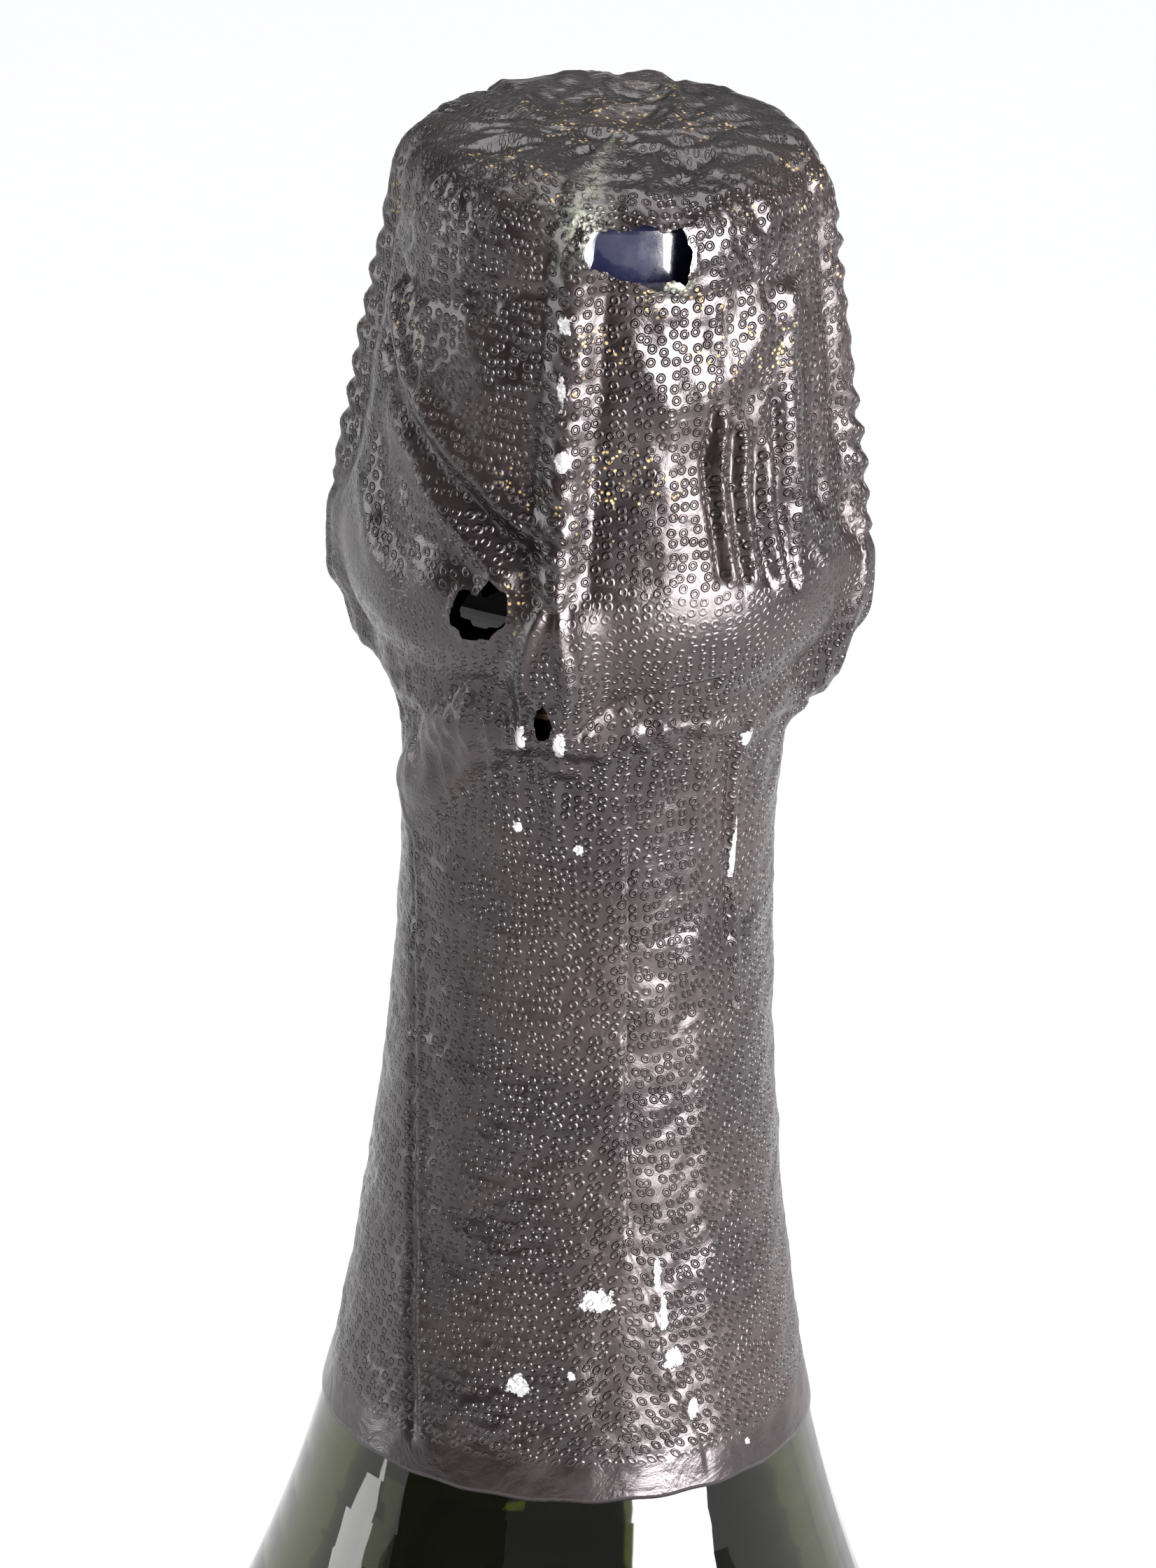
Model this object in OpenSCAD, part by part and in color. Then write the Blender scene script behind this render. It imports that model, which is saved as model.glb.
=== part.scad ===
// Champagne bottle, full and closed: glass, wine, cork, wired plaque and foil capsule.
// Millimetres. The origin is the centre of the foot, and +Z points up along the bottle.
// Heights on the finish are measured from the widest line of the neck ring, up positive.

/* [Glass outside] */
// Height of the glass from the foot to the lip
bottle_h = 292; // [270:1:350]
// Outside diameter of the body
body_d = 88.5; // [74:0.5:107]
// Outside diameter of the neck
neck_d = 26.1; // [25.2:0.1:27]
// Rounding between body and foot
heel_r = 8.5; // [6:0.5:12]
// Steepest slope of the shoulder, from the vertical
shoulder_angle = 32; // [26:1:38]
// Slope where the long upper flare of the neck meets the lower one
flare_angle = 9; // [6:0.5:12]
// Radius of the long upper flare
flare_upper_r = 250; // [200:5:300]
// Radius of the lower flare
flare_lower_r = 120; // [100:5:140]
// Straight neck between the ring and the flare
neck_straight = 21.4; // [18:0.2:26]

/* [Glass inside] */
// Wall of the body
wall = 5.2; // [4:0.1:6]
// Bore at the mouth, where the cork sits
bore_d = 17.5; // [16:0.1:18.5]
// Inside diameter of the neck below the cork
neck_bore_d = 18.9; // [18.6:0.1:20]
// Depth of the wine below the lip
fill_depth = 85; // [70:1:110]
// Gap left round the wine
wine_gap = 0.05; // [0.02:0.01:0.2]

/* [Punt] */
// Depth of the punt
punt_depth = 36; // [30:0.5:43]
// Slope of the punt's flank, from the horizontal
punt_angle = 56; // [54:1:60]
// Width of the flat ring that the bottle stands on
foot_w = 3; // [2:0.5:5]
// Rounding at the inner edge of the foot
foot_r = 3; // [2:0.5:4]
// Glass over the punt
base_wall = 6; // [5:0.1:7]

/* [Finish] */
// Height of the lip above the ring's widest line
lip_rise = 14; // [12.5:0.1:16.5]
// Outside diameter of the lip
lip_d = 28.6; // [28:0.1:29]
// Height of the lip's bead
lip_h = 5.2; // [4.5:0.1:6]
// Diameter of the neck ring
ring_d = 35.8; // [34.5:0.1:36.4]
// Radius of the ring's rounded edge
ring_edge_r = 3.6; // [3:0.1:4]

/* [Cork] */
// Length of cork in the bore
cork_in = 24; // [21:0.5:28]
// Thickness of each natural cork disc
disc_h = 5; // [4:0.5:6]
// Diameter of the mushroom head
head_d = 29; // [28:0.1:29.4]
// Running gap between cork and bore
cork_gap = 0.05; // [0.02:0.01:0.09]

/* [Plaque] */
// Diameter of the flat centre of the plaque
plaque_flat_d = 21.6; // [19:0.2:22.4]
// Diameter at the lower edge of the plaque's side
plaque_d = 27; // [26:0.1:27.6]
// Height of the plaque
plaque_h = 5.4; // [4.5:0.1:6.5]
// Thickness of the plaque's sheet
plaque_t = 0.25; // [0.2:0.05:0.35]
// Height of the plaque's top above the ring's widest line
plaque_rise = 29; // [28.5:0.1:30]

/* [Wire] */
// Diameter of the hood wire
hood_wire_d = 0.95; // [0.8:0.05:1]
// Diameter of the belt wire
belt_wire_d = 0.75; // [0.6:0.05:0.8]
// Turn of the hood about the bottle: the angle of its first leg
hood_turn = -99; // [-135:1:-60]
// Whole turns that each leg is twisted
leg_twists = 4; // [3:1:5]
// Gap between the two wires of a twist
twist_gap = 0.16; // [0.1:0.02:0.24]
// Gap between the wire and what it lies on
wire_gap = 0.12; // [0.08:0.01:0.2]
// Half width of an eyelet, from wire centre to wire centre
eyelet_half_w = 1.35; // [1.2:0.05:1.5]
// Angle where the belt is twisted up into its loop
loop_turn = -119; // [-125:1:-110]
// Length of the loop's twisted stem
stem_l = 4.6; // [3.6:0.2:6]
// Length of the loop
loop_l = 9.6; // [8:0.2:11]
// Half width of the loop, from wire centre to wire centre
loop_half_w = 1.7; // [1.3:0.1:2.2]

/* [Foil] */
// Thickness of the foil
foil_t = 0.2; // [0.1:0.05:0.3]
// Gap under the foil
foil_gap = 0.05; // [0.03:0.01:0.1]
// Room left over the wires under the foil
foil_ease = 0.22; // [0.15:0.01:0.4]
// Depth of the foil's lower edge below the ring's widest line
foil_skirt = 68.4; // [60:0.2:80]
// Depth of the line where the foil's head tears off
foil_tear = 26; // [25:0.5:32]
// Gap between the foil's head and its sleeve
tear_gap = 0.06; // [0.04:0.01:0.2]
// Angle of the sleeve's lapped seam
seam_turn = -78; // [-90:1:-60]
// Width of the lap
seam_w = 3.2; // [2:0.2:5]
// Height of the gathers on the foil's top
gather_h = 0.5; // [0.2:0.05:0.9]

/* [Hidden] */
$fn = 96;

ring_z = bottle_h - lip_rise;
body_r = body_d / 2;
neck_r = neck_d / 2;
ring_r = ring_d / 2;
lip_r = lip_d / 2;
lip_edge_r = lip_h * 0.42;
legs = 4;
arc_steps = 10;

// Points along an arc, the centre's place first
function arc_points(cx, cy, r, from, to, n = arc_steps) =
    [for (i = [0:n]) let (a = from + (to - from) * i / n) [cx + r * cos(a), cy + r * sin(a)]];

// The line of a shoulder from the body's top up to the straight neck. in_r is the neck's radius,
// out_r the body's, and grow is added to the flares for a line inside the wall.
function flare_top_r(in_r, grow) = in_r + (flare_upper_r + grow) * (1 - cos(flare_angle));
function flare_top_z(grow) = -neck_straight - (flare_upper_r + grow) * sin(flare_angle);
function flare_low_r(in_r, grow) =
    flare_top_r(in_r, grow) + (flare_lower_r + grow) * (cos(flare_angle) - cos(shoulder_angle));
function flare_low_z(grow) =
    flare_top_z(grow) - (flare_lower_r + grow) * (sin(shoulder_angle) - sin(flare_angle));
function shoulder_r(in_r, out_r, grow) = (out_r - flare_low_r(in_r, grow)) / (1 - cos(shoulder_angle));
function shoulder_line(in_r, out_r, grow) =
    let (r3 = shoulder_r(in_r, out_r, grow),
         r2 = flare_lower_r + grow,
         r1 = flare_upper_r + grow,
         foot_z = flare_low_z(grow) - r3 * sin(shoulder_angle))
    concat(arc_points(out_r - r3, foot_z, r3, 0, shoulder_angle, 16),
           arc_points(flare_low_r(in_r, grow) + r2 * cos(shoulder_angle),
                      flare_low_z(grow) + r2 * sin(shoulder_angle), r2,
                      180 + shoulder_angle - 1, 180 + flare_angle, 14),
           arc_points(in_r + r1, -neck_straight, r1, 180 + flare_angle - 0.5, 180, 12));
function lifted(points, dz) = [for (p = points) [p[0], p[1] + dz]];

// The ring and the lip, from the neck up
ring_core_r = ring_r - ring_edge_r;
ring_top_a = 55;
ring_low_a = -42;
ring_low = [ring_core_r + ring_edge_r * cos(ring_low_a), ring_edge_r * sin(ring_low_a)];
ring_top = [ring_core_r + ring_edge_r * cos(ring_top_a), ring_edge_r * sin(ring_top_a)];
collar_r = neck_r + 0.15;
under_ring_z = ring_low[1] - (ring_low[0] - neck_r) / tan(-ring_low_a);
over_ring_z = ring_top[1] + (ring_top[0] - collar_r) / tan(ring_top_a);
lip_low_z = lip_rise - lip_h;
finish_line = concat(
    [[neck_r, under_ring_z]],
    arc_points(ring_core_r, 0, ring_edge_r, ring_low_a, ring_top_a, 14),
    [[collar_r, over_ring_z], [collar_r, lip_low_z - 1.2]],
    arc_points(lip_r - 1.4, lip_low_z + 0.4, 1.4, -50, 0, 5),
    arc_points(lip_r - lip_edge_r, lip_rise - lip_edge_r, lip_edge_r, 0, 90, 8));

// The foot, the punt under the glass and the valley round it inside
foot_out_r = body_r - heel_r;
foot_in_r = foot_out_r - foot_w;
punt_flat = 1 / cos(punt_angle) - 1;
punt_top_r = (tan(punt_angle) * foot_in_r - punt_depth) / punt_flat - foot_r;
valley_r = 4;
function punt_line(t) =
    arc_points(0, punt_depth - punt_top_r, punt_top_r + t, 90, 90 - punt_angle, 12);
inner_r = body_r - wall;
flank = [punt_top_r * sin(punt_angle) + base_wall * sin(punt_angle),
         punt_depth - punt_top_r * (1 - cos(punt_angle)) + base_wall * cos(punt_angle)];
valley_z = flank[1] + (valley_r - (inner_r - valley_r - flank[0]) * sin(punt_angle)) / cos(punt_angle);

outer_line = concat(
    arc_points(foot_out_r, heel_r, heel_r, -90, 0, 12),
    lifted(shoulder_line(neck_r, body_r, 0), ring_z),
    lifted(finish_line, ring_z));

// The inside, from the mouth down to the middle of the base, drawn in by a gap for the wine
mouth_r = 0.9;
cork_end = lip_rise - cork_in;
function cavity_line(gap) = concat(
    [for (i = [len(cavity_wall(gap)) - 1:-1:0]) cavity_wall(gap)[i]],
    arc_points(inner_r - valley_r, valley_z, valley_r - gap, 0, -90 - (90 - punt_angle), 10),
    [for (i = [len(punt_line(0)) - 1:-1:0]) punt_line(base_wall + gap)[i]]);
function cavity_wall(gap) = concat(
    lifted(shoulder_line(neck_bore_d / 2 - gap, inner_r - gap, wall + gap), ring_z),
    [[bore_d / 2 - gap, ring_z + cork_end - 0.5]]);

module glass_bottle() {
    mouth = arc_points(bore_d / 2 + mouth_r, bottle_h - mouth_r, mouth_r, 90, 180, 5);
    foot_curve = arc_points(foot_in_r, foot_r, foot_r, 180 + 90 - punt_angle, 270, 6);
    color([0.05, 0.09, 0.05]) rotate_extrude()
        polygon(concat(outer_line, mouth, cavity_line(0), punt_line(0), foot_curve));
}

module wine() {
    wine_top = bottle_h - fill_depth;
    color([0.75, 0.62, 0.25]) intersection() {
        rotate_extrude() polygon(concat(cavity_line(wine_gap), [[0, ring_z]]));
        cylinder(h = wine_top, r = body_r);
    }
}

// The sleeve of foil on the neck, with its lapped seam
function sleeve_line(lift, from, to) =
    let (n = 16)
    [for (i = [0:n]) let (z = from + (to - from) * i / n) [neck_r_at(z) + lift, ring_z + z]];
function neck_r_at(z) =
    let (d = max(0, -neck_straight - z), top = flare_upper_r * sin(flare_angle))
    d <= top ? neck_r + flare_upper_r - sqrt(pow(flare_upper_r, 2) - pow(d, 2))
    : let (e = d - top + flare_lower_r * sin(flare_angle))
      flare_top_r(neck_r, 0) + flare_lower_r * cos(flare_angle)
          - sqrt(pow(flare_lower_r, 2) - pow(e, 2));
function reversed(list) = [for (i = [len(list) - 1:-1:0]) list[i]];

module foil_neck() {
    low = -foil_skirt;
    high = -foil_tear - tear_gap;
    lap_a = seam_w / (2 * PI * neck_r) * 360;
    color([0.2, 0.13, 0.13]) {
        rotate_extrude() polygon(concat(sleeve_line(foil_gap, low, high),
                                        reversed(sleeve_line(foil_gap + foil_t, low, high))));
        rotate([0, 0, seam_turn - lap_a]) rotate_extrude(angle = lap_a)
            polygon(concat(sleeve_line(foil_gap + foil_t, low, high),
                           reversed(sleeve_line(foil_gap + 2 * foil_t, low, high))));
    }
}

// The cork: a mushroom of pressed granules over two discs of natural cork
shank_r = bore_d / 2 - cork_gap;
head_r = head_d / 2;
head_top = plaque_rise - 1.05;
head_seat = lip_rise + 0.12;

module cork_body() {
    disc_top = cork_end + 2 * disc_h;
    color([0.78, 0.6, 0.4]) translate([0, 0, ring_z]) rotate_extrude() polygon(concat(
        [[0, disc_top], [shank_r, disc_top], [shank_r, lip_rise - 0.2]],
        [[shank_r + 1.2, head_seat], [head_r - 2.4, head_seat]],
        arc_points(head_r - 2.4, head_seat + 2.6, 2.4, -90, 8, 8),
        arc_points(plaque_flat_d / 2 - 1.2, head_top - 2.6, 2.6, 25, 90, 6),
        [[0, head_top]]));
}

module cork_disc(bottom) {
    edge = 0.35;
    color([0.82, 0.66, 0.45]) translate([0, 0, ring_z + bottom]) rotate_extrude() polygon([
        [0, 0], [shank_r - edge, 0], [shank_r, edge], [shank_r, disc_h], [0, disc_h]]);
}

module cork_disc_upper() {
    cork_disc(cork_end + disc_h);
}

module cork_disc_lower() {
    cork_disc(cork_end);
}

// The plaque: a flat centre, a step that the wire ring lies in, and a side that flares out
step_h = 0.75;
step_w = 1.9;
plaque_side_top = [plaque_flat_d / 2 + step_w, plaque_rise - step_h];
plaque_edge = [plaque_d / 2, plaque_rise - plaque_h];
plaque_line = concat(
    [[0, plaque_rise], [plaque_flat_d / 2 - 0.3, plaque_rise]],
    arc_points(plaque_flat_d / 2 - 0.3, plaque_rise - 0.3, 0.3, 80, 20, 3),
    [[plaque_flat_d / 2 + 0.25, plaque_rise - step_h]],
    arc_points(plaque_side_top[0] - 0.9, plaque_side_top[1] - 0.9, 0.9, 85, 10, 5),
    [[plaque_edge[0] - 0.35, plaque_edge[1] + 0.5], plaque_edge]);

module plaque() {
    under = [for (p = plaque_line) [max(0, p[0] - (p[0] > 0 ? plaque_t * 0.7 : 0)),
                                    p[1] - plaque_t]];
    color([0.08, 0.1, 0.2]) translate([0, 0, ring_z]) rotate_extrude()
        polygon(concat(plaque_line, reversed(under)));
}

// Vectors, and a smooth curve through points at the place t
function unit(v) = v / norm(v);
function turned(p, a) = [p[0] * cos(a) - p[1] * sin(a), p[0] * sin(a) + p[1] * cos(a), p[2]];
function pick(list, i) = list[max(0, min(len(list) - 1, i))];
function smooth_at(list, t) =
    let (i = min(floor(t), len(list) - 2), u = t - i,
         a = pick(list, i - 1), b = list[i], c = list[i + 1], d = pick(list, i + 2))
    0.5 * (2 * b + (c - a) * u + (2 * a - 5 * b + 4 * c - d) * u * u
           + (3 * b - a - 3 * c + d) * u * u * u);

// A closed tube of n sides round a path, with flat ends. Each ring's frame is the last one's,
// turned no more than the path turns.
function path_tangents(path) =
    [for (i = [0:len(path) - 1]) unit(pick(path, i + 1) - pick(path, i - 1))];
function square_to(v, t) = unit(v - (v * t) * t);
function first_normal(t) = square_to(abs(t[2]) < 0.8 ? [0, 0, 1] : [1, 0, 0], t);
function path_normals(tangents) =
    [for (i = 0, v = first_normal(tangents[0]); i < len(tangents);
          i = i + 1, v = i < len(tangents) ? square_to(v, tangents[i]) : v) v];
module tube(path, r, n) {
    t = path_tangents(path);
    v = path_normals(t);
    last = len(path) - 1;
    points = [for (i = [0:last]) let (w = cross(t[i], v[i]))
              for (k = [0:n - 1]) path[i] + r * (cos(360 * k / n) * v[i] + sin(360 * k / n) * w)];
    sides = [for (i = [0:last - 1]) for (k = [0:n - 1])
             let (a = i * n + k, b = i * n + (k + 1) % n)
             each [[a, b + n, b], [a, a + n, b + n]]];
    caps = concat([for (k = [1:n - 2]) [0, k, k + 1]],
                  [for (k = [1:n - 2]) [last * n, last * n + k + 1, last * n + k]]);
    polyhedron(points, concat(sides, caps), convexity = 10);
}

// The hood: its leg's line in radius and height, from the top ring to the end of the eyelet
hood_r = hood_wire_d / 2;
pair_r = hood_wire_d + twist_gap / 2;
strand_r = pair_r - hood_r;
top_ring = [plaque_flat_d / 2 + step_w * 0.62, plaque_rise - step_h + hood_r + wire_gap];
over_ring_r = ring_r + wire_gap + hood_r;
belt_r = neck_r + 1.95;
belt_z = -7.9;
leg_high = [plaque_edge[0] + pair_r + wire_gap, plaque_edge[1] + 0.3];
leg_low = [plaque_edge[0] * 0.35 + over_ring_r * 0.65 - 0.35, lip_rise - 2];
leg_line = [
    top_ring,
    [plaque_side_top[0] + hood_r + 0.35, plaque_side_top[1] + 0.1],
    [plaque_side_top[0] + pair_r + 0.25, plaque_side_top[1] - 1.5],
    leg_high,
    (leg_high + leg_low) / 2,
    leg_low,
    [over_ring_r - 1.35, 5.2],
    [over_ring_r, 1.2],
    [over_ring_r, -1.6],
    [over_ring_r - 0.55, -3.9],
    [belt_r + 1.55, -5.8],
    [belt_r, belt_z],
    [belt_r - 0.75, belt_z - 1.5]];
leg_end = len(leg_line) - 1;
meet_at = 1.9;
twist_from = 2.25;
twist_to = 6.4;
tilt_from = 8.6;
belt_at = leg_end - 1;
eyelet_tilt = 48;
top_half_w = 2.6;

// The length along a leg's line up to the place t
leg_marks = [for (i = 0, s = 0; i <= 10 * leg_end;
                  i = i + 1,
                  s = s + norm(smooth_at(leg_line, i / 10) - smooth_at(leg_line, (i - 1) / 10)))
             [i / 10, s]];
function leg_s(t) = lookup(t, leg_marks);
function leg_t(s) = lookup(s, [for (m = leg_marks) [m[1], m[0]]]);
twist_s = leg_s(twist_from);
twist_l = leg_s(twist_to) - twist_s;

// How far each wire of a leg lies from the leg's line, and at what angle round it
function strand_off(t) =
    t < meet_at ? strand_r + (top_half_w - strand_r) * pow(1 - t / meet_at, 2)
    : t < twist_to ? strand_r
    : t < belt_at - 0.5 ? strand_r + (eyelet_half_w - strand_r)
                          * (1 - cos(180 * (t - twist_to) / (belt_at - 0.5 - twist_to))) / 2
    : eyelet_half_w * sqrt(max(0, 1 - pow((t - belt_at + 0.5) / (leg_end - belt_at + 0.5), 4)));
function strand_angle(t) =
    t < twist_from ? 0
    : t < twist_to ? leg_twists * 360 * (leg_s(t) - twist_s) / twist_l
    : leg_twists * 360 + eyelet_tilt * max(0, min(1, (t - tilt_from) / (belt_at - tilt_from)));
function leg_point(t, side) =
    let (c = smooth_at(leg_line, t), e = 0.02,
         g = smooth_at(leg_line, min(leg_end, t + e)) - smooth_at(leg_line, max(0, t - e)),
         out = unit([-g[1], g[0]]), off = side * strand_off(t), a = strand_angle(t))
    [c[0] + off * sin(a) * out[0], off * cos(a), c[1] + off * sin(a) * out[1] + ring_z];
leg_stops = concat([0.12, 0.4, 0.7, 1, 1.3, 1.6, meet_at],
                   [for (i = [0:9 * leg_twists - 1])
                    leg_t(twist_s + twist_l * i / (9 * leg_twists))],
                   [for (t = [twist_to:0.4:belt_at - 0.6]) t],
                   [for (a = [0:15:75]) leg_end - (leg_end - belt_at + 0.5) * (1 - sin(a))]);
function leg_wire(a) = concat(
    [for (t = leg_stops) turned(leg_point(t, -1), a)],
    [turned([smooth_at(leg_line, leg_end)[0], 0, smooth_at(leg_line, leg_end)[1] + ring_z], a)],
    [for (t = reversed(leg_stops)) turned(leg_point(t, 1), a)]);
ring_reach = asin(top_half_w / top_ring[0]) + 5;
function ring_arc(a, from, to) =
    [for (i = [0:8]) let (b = a + from + (to - from) * i / 8)
     [top_ring[0] * cos(b), top_ring[0] * sin(b), top_ring[1] + ring_z]];

module hood_wire() {
    step = 360 / legs;
    ends = 0.6;
    path = concat(
        ring_arc(hood_turn, -step / 2 + ends, -ring_reach),
        [for (k = [0:legs - 1]) let (a = hood_turn + k * step)
         each concat(leg_wire(a),
                     k < legs - 1 ? ring_arc(a, ring_reach, step - ring_reach)
                     : ring_arc(a, ring_reach, step / 2 - ends))]);
    color([0.62, 0.64, 0.68]) tube(path, hood_r, 6);
}

// The belt: round the neck through the eyelets, then a twisted stem and a loop that lie on the neck
belt_wire_r = belt_wire_d / 2;
belt_strand_r = belt_wire_r + twist_gap / 2;
belt_join = 5;
stem_twists = 1.5;
lie_r = neck_r + wire_gap + belt_wire_r;

// A place on the neck: u along the stem, v across it, both on the neck's unrolled face
function on_neck(u, v, r) =
    let (slant = 45, x = u * cos(slant) + v * sin(slant), z = -u * sin(slant) + v * cos(slant),
         a = loop_turn - x / lie_r * 180 / PI)
    [r * cos(a), r * sin(a), ring_z + belt_z - 1.3 + z];
function stem_point(u, side) =
    let (a = side * 90 + 90 + 360 * stem_twists * u / stem_l,
         mid = belt_r + (lie_r + belt_strand_r - belt_r) * min(1, u / stem_l * 1.6))
    on_neck(u, belt_strand_r * cos(a), mid + belt_strand_r * sin(a));
function loop_point(s, side) =
    let (w = belt_strand_r + (loop_half_w - belt_strand_r) * sin(min(90, s * 180)),
         round_off = s < 0.6 ? 1 : sqrt(max(0, 1 - pow((s - 0.6) / 0.4, 2))))
    on_neck(stem_l + 0.4 + s * loop_l, side * w * round_off, lie_r);

function belt_point(a, drop) = [belt_r * cos(a), belt_r * sin(a), ring_z + belt_z - drop];

module belt_wire() {
    turns = 56;
    butt = 0.5;
    around = [for (i = [0:turns])
              belt_point(loop_turn + belt_join + (360 - 2 * belt_join) * i / turns, 0)];
    bend_in = belt_point(loop_turn - belt_join * 0.55, 0.3);
    bend_out = belt_point(loop_turn + belt_join * 0.55, 0.3);
    end = belt_point(loop_turn + belt_join - butt, 0.02);
    down = [for (i = [0:11]) stem_point(stem_l * i / 11, -1)];
    back = [for (i = [11:-1:0]) stem_point(stem_l * i / 11, 1)];
    loop_s = [0.06, 0.14, 0.24, 0.36, 0.5, 0.62, 0.74, 0.84, 0.92, 0.975];
    loop = concat([for (s = loop_s) loop_point(s, -1)], [loop_point(1, 0)],
                  [for (s = reversed(loop_s)) loop_point(s, 1)]);
    color([0.72, 0.58, 0.36])
        tube(concat(around, [bend_in], down, loop, back, [bend_out, end]), belt_wire_r, 6);
}

// The foil's head: a tent from the plaque over the legs to the neck. Heights go from the tear
// line up. Each row holds the height, the radius between the legs and the radius over a leg.
function over_leg(t, reach) = smooth_at(leg_line, t)[0] + reach + foil_ease;
tent_rows = [
    [-foil_tear, neck_r_at(-foil_tear) + 0.15, neck_r_at(-foil_tear) + 0.15],
    [-22.5, neck_r + 0.25, neck_r + 0.25],
    [-19.5, neck_r + 0.35, neck_r + 0.35],
    [-17, neck_r + 0.45, neck_r + 0.45],
    [-13.5, neck_r + 0.8, neck_r + 0.9],
    [-11.2, belt_r + 0.1, belt_r + 1],
    [-9.4, belt_r + 0.75, belt_r + 1.95],
    [-7.9, belt_r + 1, belt_r + 2.35],
    [-6.4, belt_r + 1.3, belt_r + 2.9],
    [-4.6, ring_r - 0.6, over_leg(9, hood_r) + 0.35],
    [-2.6, ring_r + 0.15, over_leg(8, hood_r) + 0.05],
    [-0.6, ring_r + 0.3, over_leg(8, hood_r)],
    [1.6, ring_r + 0.25, over_leg(7, hood_r)],
    [4, ring_r + 0.1, over_leg(7, hood_r)],
    [7, ring_r - 0.25, over_leg(6, pair_r) + 0.2],
    [12, ring_r - 1.1, over_leg(5, pair_r) + 0.15],
    [17.5, ring_r - 2.05, over_leg(4, pair_r) + 0.2],
    [22.5, ring_r - 2.85, over_leg(3, pair_r) + 0.2],
    [26, ring_r - 3.3, over_leg(2, pair_r) + 0.35],
    [28.3, ring_r - 3.55, over_leg(1, hood_r) + 0.55]];
crown_z = top_ring[1] + hood_r + foil_ease;
crown_r = top_ring[0] + hood_r + 0.35;
crown_rows = [[1, 0.05, 60], [0.86, 0.3, 80], [0.6, 0.45, 90], [0.3, 0.55, 90]];
turns_near_leg = [-45, -36, -27, -19, -13, -8, -4, 0, 4, 8, 13, 19, 27, 36];
foil_turns = [for (k = [0:legs - 1]) for (d = turns_near_leg) hood_turn + 360 / legs * k + d];
rib_half_w = 1.5;
eyelet_rib_half_w = 2.9;
pleats = 9;

function leg_dist(a, r) =
    let (step = 360 / legs, d = (a - hood_turn + 720 + step / 2) % step - step / 2)
    abs(d) * PI / 180 * r;
function over_loop(a, z) =
    let (x = ((loop_turn - a + 540) % 360 - 180) * PI / 180 * lie_r, y = z - belt_z + 1.3,
         u = (x - y) * sqrt(0.5), v = (x + y) * sqrt(0.5),
         mid = (stem_l + loop_l) / 2, half_l = mid + 1.6, half_w = loop_half_w + 1.3)
    1.15 * exp(-pow((u - mid) / half_l, 6) - pow(v / half_w, 4));
function rib_at(a, row) =
    let (d = leg_dist(a, row[1]))
    row[0] < 3 && row[0] > -9 ? exp(-pow(d / eyelet_rib_half_w, 4)) : exp(-pow(d / rib_half_w, 2));
function tent_point(a, row) =
    let (rib = rib_at(a, row),
         high = max(0, min(1, row[0] / 20)),
         pleat = 0.25 * high * (1 - rib) * (1 + cos(pleats * a + 4 * row[0])))
    [row[1] + (row[2] - row[1]) * rib + pleat + over_loop(a, row[0]), row[0]];
function crown_point(a, row) =
    let (rib = exp(-pow(leg_dist(a, crown_r) / rib_half_w, 2)))
    [(crown_r + 0.5 * rib) * row[0],
     crown_z + row[1] * 0.6 + gather_h * row[0] * (1 - row[0]) * (1 + cos(pleats * a + 200 * row[0]))];
function ring_of(a, rz, lean, lift) =
    [(rz[0] + lift * cos(lean)) * cos(a), (rz[0] + lift * cos(lean)) * sin(a),
     rz[1] + lift * sin(lean) + ring_z];

module foil_head() {
    n = len(foil_turns);
    rows = len(tent_rows) + len(crown_rows);
    shell = [for (lift = [0, foil_t])
             concat([for (row = tent_rows) for (a = foil_turns)
                     ring_of(a, tent_point(a, row), 0, lift)],
                    [for (row = crown_rows) for (a = foil_turns)
                     ring_of(a, crown_point(a, row), row[2], lift)])];
    poles = [for (lift = [0, foil_t]) [0, 0, crown_z + 0.45 + lift + ring_z]];
    base = [0, rows * n];
    tip = 2 * rows * n;
    skins = [for (s = [0:1]) for (j = [0:rows - 2]) for (k = [0:n - 1])
             let (k2 = (k + 1) % n, a = base[s] + j * n + k, b = base[s] + j * n + k2,
                  c = base[s] + (j + 1) * n + k2, d = base[s] + (j + 1) * n + k)
             each s == 1 ? [[a, c, b], [a, d, c]] : [[a, b, c], [a, c, d]]];
    tops = [for (s = [0:1]) for (k = [0:n - 1])
            let (a = base[s] + (rows - 1) * n + k, b = base[s] + (rows - 1) * n + (k + 1) % n)
            s == 1 ? [a, tip + 1, b] : [a, b, tip]];
    rim = [for (k = [0:n - 1]) let (k2 = (k + 1) % n)
           each [[k, base[1] + k2, k2], [k, base[1] + k, base[1] + k2]]];
    color([0.2, 0.13, 0.13])
        polyhedron(concat(shell[0], shell[1], poles), concat(skins, tops, rim), convexity = 6);
}

glass_bottle();
wine();
foil_neck();
cork_body();
cork_disc_upper();
cork_disc_lower();
plaque();
hood_wire();
belt_wire();
foil_head();
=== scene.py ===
import bpy
import math
import numpy as np
from mathutils import Matrix, Vector


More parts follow.
